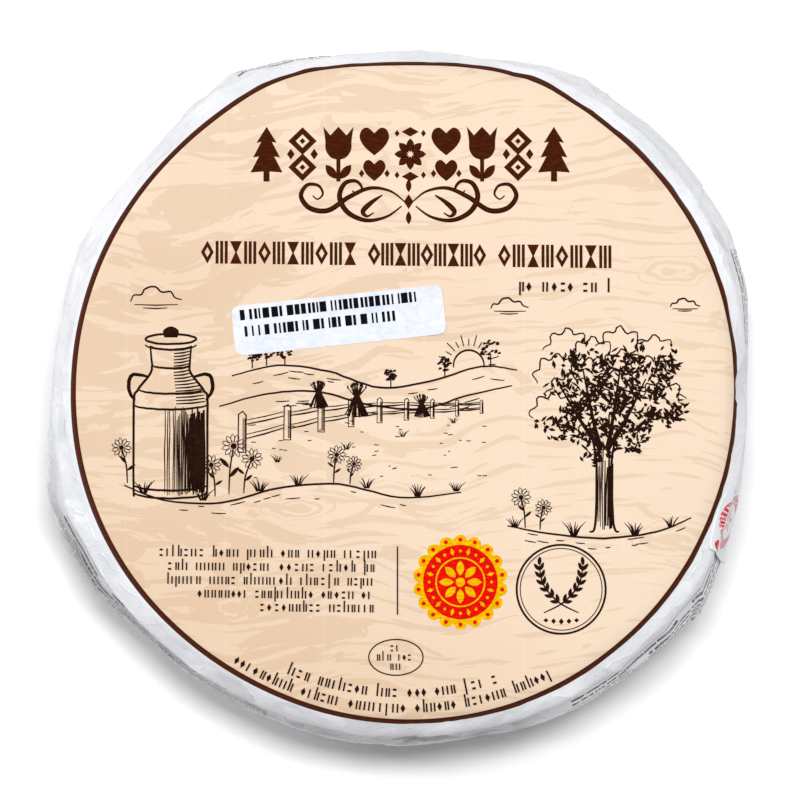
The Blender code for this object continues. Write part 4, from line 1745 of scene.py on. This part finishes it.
def rim_sticker_place(chart, surface, x, y, lift):
    """A place on the rim sticker, from minus one to one across and down it, on the creased paper."""
    along = 0.5 * RIM_STICKER_ACROSS * x * math.sqrt(1.0 - RIM_STICKER_ROUNDING * y * y)
    below = 0.5 * RIM_STICKER_DOWN * (1.0 - y * math.sqrt(1.0 - RIM_STICKER_ROUNDING * x * x))
    round_wheel = (RIM_STICKER_ANGLE % TAU) * CHEESE_RADIUS / MM + along
    point, normal = chart.at(round_wheel, RIM_STICKER_START + below - RIM_STICKER_TILT * x)
    hit = surface.ray_cast(point + normal * 3.0 * MM, -normal)[0]
    return (hit or point) + normal * lift


def rim_sticker_sheet(settings, chart, surface):
    """A sticker with rounded corners, bent over the shoulder, whose lower end has come loose."""
    bm = bmesh.new()
    bmesh.ops.create_grid(bm, x_segments=26, y_segments=34, size=1.0)
    layer = bm.loops.layers.uv.new("sticker")
    for face in bm.faces:
        for loop in face.loops:
            loop[layer].uv = (loop.vert.co.x, loop.vert.co.y)
    for vert in bm.verts:
        x, y = vert.co.x, vert.co.y
        loose = max(-x - 0.6, 0.0) / 0.4
        lift = settings.thickness + 0.05 * MM + 0.6 * MM * loose * loose
        vert.co = rim_sticker_place(chart, surface, x, y, lift)
    inner = [vert for vert in bm.verts if not vert.is_boundary]
    for _ in range(3):
        bmesh.ops.smooth_vert(bm, verts=inner, factor=0.5, use_axis_x=True, use_axis_y=True, use_axis_z=True)
    return thickened(bm, settings.thickness)


def draw_slip_bars(ink):
    """Two rows of plain upright bars of uneven width."""
    draw = random.Random(BAR_SEED)
    for start, end, base in BAR_ROWS:
        x = start
        while x < end:
            width = draw.choice((0.35, 0.55, 0.55, 0.95, 1.3))
            upright = bar(width, BAR_HEIGHT, x + 0.5 * width, base + 0.5 * BAR_HEIGHT)
            ink.fill(moved(upright, *SLIP_CENTRE, turn=SLIP_TURN))
            x += width + draw.choice((0.28, 0.28, 0.45, 0.45, 0.9))


# Studio


def add_light(name, place, size, power):
    """A soft rectangular light that looks at the wheel."""
    light = bpy.data.lights.new(name, "AREA")
    light.shape = "RECTANGLE"
    light.size, light.size_y = size
    light.energy = power
    lamp = link_object(name, light)
    lamp.location = place
    lamp.rotation_euler = (-Vector(place)).to_track_quat("-Z", "Y").to_euler()


def add_sky(strength):
    world = bpy.data.worlds.new("studio_world")
    world.use_nodes = True
    background = world.node_tree.nodes["Background"]
    background.inputs["Color"].default_value = SKY_COLOUR
    background.inputs["Strength"].default_value = strength
    bpy.context.scene.world = world


def add_camera(distance, elevation):
    camera = bpy.data.cameras.new("studio_camera")
    camera.sensor_width = SENSOR_WIDTH
    camera.lens = SENSOR_WIDTH * distance / FRAME_WIDTH
    camera.clip_start = CLIP_START
    seen = link_object("studio_camera", camera)
    tilt = 0.5 * math.pi - elevation
    seen.rotation_euler = (tilt, 0.0, 0.0)
    away = Vector((0.0, -math.sin(tilt), math.cos(tilt)))
    up = Vector((0.0, math.cos(tilt), math.sin(tilt)))
    seen.location = Vector((0.0, 0.0, WAIST_HEIGHT)) + away * distance - up * AIM_DROP
    bpy.context.scene.camera = seen


# Operators


class CHEESE_OT_wrapper(bpy.types.Operator):
    """Make the creased paper wrapper with its printed wood and ring"""
    bl_idname = "cheese.wrapper"
    bl_label = "Paper wrapper"

    def execute(self, context):
        settings = context.scene.cheese_paper
        chart = PaperChart()
        bm = bmesh.new()
        turn_section(bm, chart.section)
        material = wrapper_material(settings, context.scene.cheese_print)
        wrapper = object_from_bmesh("paper_wrapper", bm, material)
        mesh = wrapper.data
        coordinates = np.empty(3 * len(mesh.vertices))
        mesh.vertices.foreach_get("co", coordinates)
        rings, columns = places_on_chart(coordinates.reshape(-1, 3), chart.section)
        mesh.vertices.foreach_set("co", creased_places(chart, rings, columns, settings).ravel())
        lay_print_flat(mesh, chart, rings, columns)
        mesh.update()
        mesh.shade_smooth()
        settle(wrapper, "wrapper", "wrapped_wheel")
        return {"FINISHED"}


class CHEESE_OT_frieze(bpy.types.Operator):
    """Print the bold frieze of folk motifs, and the flourish and band of marks under it"""
    bl_idname = "cheese.frieze"
    bl_label = "Frieze and flourish"

    def execute(self, context):
        ink = Ink()
        draw_frieze(ink)
        draw_flourish(ink)
        draw_caps_band(ink)
        material = ink_material("bold_ink", context.scene.cheese_print.bold_ink)
        settle(ink.lay("printed_frieze", material, surface_of("paper_wrapper")), "wrapper")
        return {"FINISHED"}


class CHEESE_OT_small_rows(bpy.types.Operator):
    """Print the rows of small plain marks"""
    bl_idname = "cheese.small_rows"
    bl_label = "Small rows"

    def execute(self, context):
        ink = Ink()
        draw_small_rows(ink)
        draw_oval(ink)
        material = ink_material("row_ink", context.scene.cheese_print.fine_ink)
        settle(ink.lay("printed_rows", material, surface_of("paper_wrapper"), EDGE_INK_LIFT), "wrapper")
        return {"FINISHED"}


class CHEESE_OT_drawing(bpy.types.Operator):
    """Print the pasture drawing and the round emblem"""
    bl_idname = "cheese.drawing"
    bl_label = "Pasture drawing"

    def execute(self, context):
        ink = Ink()
        draw_pasture(ink)
        draw_emblem(ink)
        material = ink_material("drawing_ink", context.scene.cheese_print.fine_ink)
        settle(ink.lay("printed_drawing", material, surface_of("paper_wrapper")), "wrapper")
        return {"FINISHED"}


class CHEESE_OT_seal(bpy.types.Operator):
    """Print the round seal with a flower in it"""
    bl_idname = "cheese.seal"
    bl_label = "Round seal"

    def execute(self, context):
        inks = context.scene.cheese_print
        for name, draw_part, colour in (
            ("seal_yellow", draw_seal_yellow, inks.seal_yellow),
            ("seal_red", draw_seal_red, inks.seal_red),
        ):
            ink = Ink()
            draw_part(ink)
            material = ink_material(name + "_ink", colour)
            settle(ink.lay(name, material, surface_of("paper_wrapper")), "wrapper")
        return {"FINISHED"}


class CHEESE_OT_face_sticker(bpy.types.Operator):
    """Stick the printed slip on the face"""
    bl_idname = "cheese.face_sticker"
    bl_label = "Face sticker"

    def execute(self, context):
        settings = context.scene.cheese_stickers
        bm = slip_sheet(settings, surface_of("paper_wrapper"))
        slip = object_from_bmesh("face_slip", bm, slip_material(settings.slip_paper))
        settle(slip, "face_sticker", "face_sticker")
        ink = Ink()
        draw_slip_bars(ink)
        material = ink_material("slip_ink", settings.slip_ink)
        settle(ink.lay("face_slip_bars", material, surface_of("face_slip")), "face_sticker")
        return {"FINISHED"}


class CHEESE_OT_rim_sticker(bpy.types.Operator):
    """Stick the small sticker over the rim"""
    bl_idname = "cheese.rim_sticker"
    bl_label = "Rim sticker"

    def execute(self, context):
        settings = context.scene.cheese_stickers
        bm = rim_sticker_sheet(settings, PaperChart(), surface_of("paper_wrapper"))
        sticker = object_from_bmesh("rim_label", bm, rim_sticker_material(settings))
        sticker.data.shade_smooth()
        settle(sticker, "rim_sticker", "rim_sticker")
        return {"FINISHED"}


class CHEESE_OT_studio(bpy.types.Operator):
    """Add the floor, the lights and the camera"""
    bl_idname = "cheese.studio"
    bl_label = "Studio"

    def execute(self, context):
        settings = context.scene.cheese_studio
        bm = bmesh.new()
        bmesh.ops.create_grid(bm, x_segments=4, y_segments=4, size=FLOOR_REACH)
        object_from_bmesh("studio_floor", bm, floor_material())
        add_sky(settings.sky)
        add_light("key_light", *KEY_LIGHT, settings.key_power)
        add_light("left_light", *LEFT_LIGHT, settings.side_power)
        add_light("right_light", *RIGHT_LIGHT, settings.right_power)
        context.scene.view_settings.view_transform = "Standard"
        add_camera(settings.camera_distance, settings.camera_elevation)
        return {"FINISHED"}


class CHEESE_PT_wheel(bpy.types.Panel):
    """The settings of the wrapped wheel, and a button for each of its pieces"""
    bl_idname = "CHEESE_PT_wheel"
    bl_label = "Cheese Wheel"
    bl_space_type = "VIEW_3D"
    bl_region_type = "UI"
    bl_category = "Cheese Wheel"

    def draw(self, context):
        for group in SETTINGS:
            box = self.layout.box()
            settings = getattr(context.scene, group)
            for name in SETTINGS[group].__annotations__:
                box.prop(settings, name)
        for operator in OPERATORS:
            self.layout.operator(operator.bl_idname)


SETTINGS = {
    "cheese_paper": PaperSettings,
    "cheese_print": PrintSettings,
    "cheese_stickers": StickerSettings,
    "cheese_studio": StudioSettings,
}
OPERATORS = (
    CHEESE_OT_wrapper,
    CHEESE_OT_frieze,
    CHEESE_OT_small_rows,
    CHEESE_OT_drawing,
    CHEESE_OT_seal,
    CHEESE_OT_face_sticker,
    CHEESE_OT_rim_sticker,
    CHEESE_OT_studio,
)


def register():
    for name, group in SETTINGS.items():
        bpy.utils.register_class(group)
        setattr(bpy.types.Scene, name, PointerProperty(type=group))
    for operator in OPERATORS:
        bpy.utils.register_class(operator)
    bpy.utils.register_class(CHEESE_PT_wheel)


def unregister():
    bpy.utils.unregister_class(CHEESE_PT_wheel)
    for operator in reversed(OPERATORS):
        bpy.utils.unregister_class(operator)
    for name, group in SETTINGS.items():
        delattr(bpy.types.Scene, name)
        bpy.utils.unregister_class(group)


def main():
    register()
    bpy.ops.cheese.wrapper()
    bpy.ops.cheese.frieze()
    bpy.ops.cheese.small_rows()
    bpy.ops.cheese.drawing()
    bpy.ops.cheese.seal()
    bpy.ops.cheese.face_sticker()
    bpy.ops.cheese.rim_sticker()
    bpy.ops.cheese.studio()


if __name__ == "__main__":
    main()
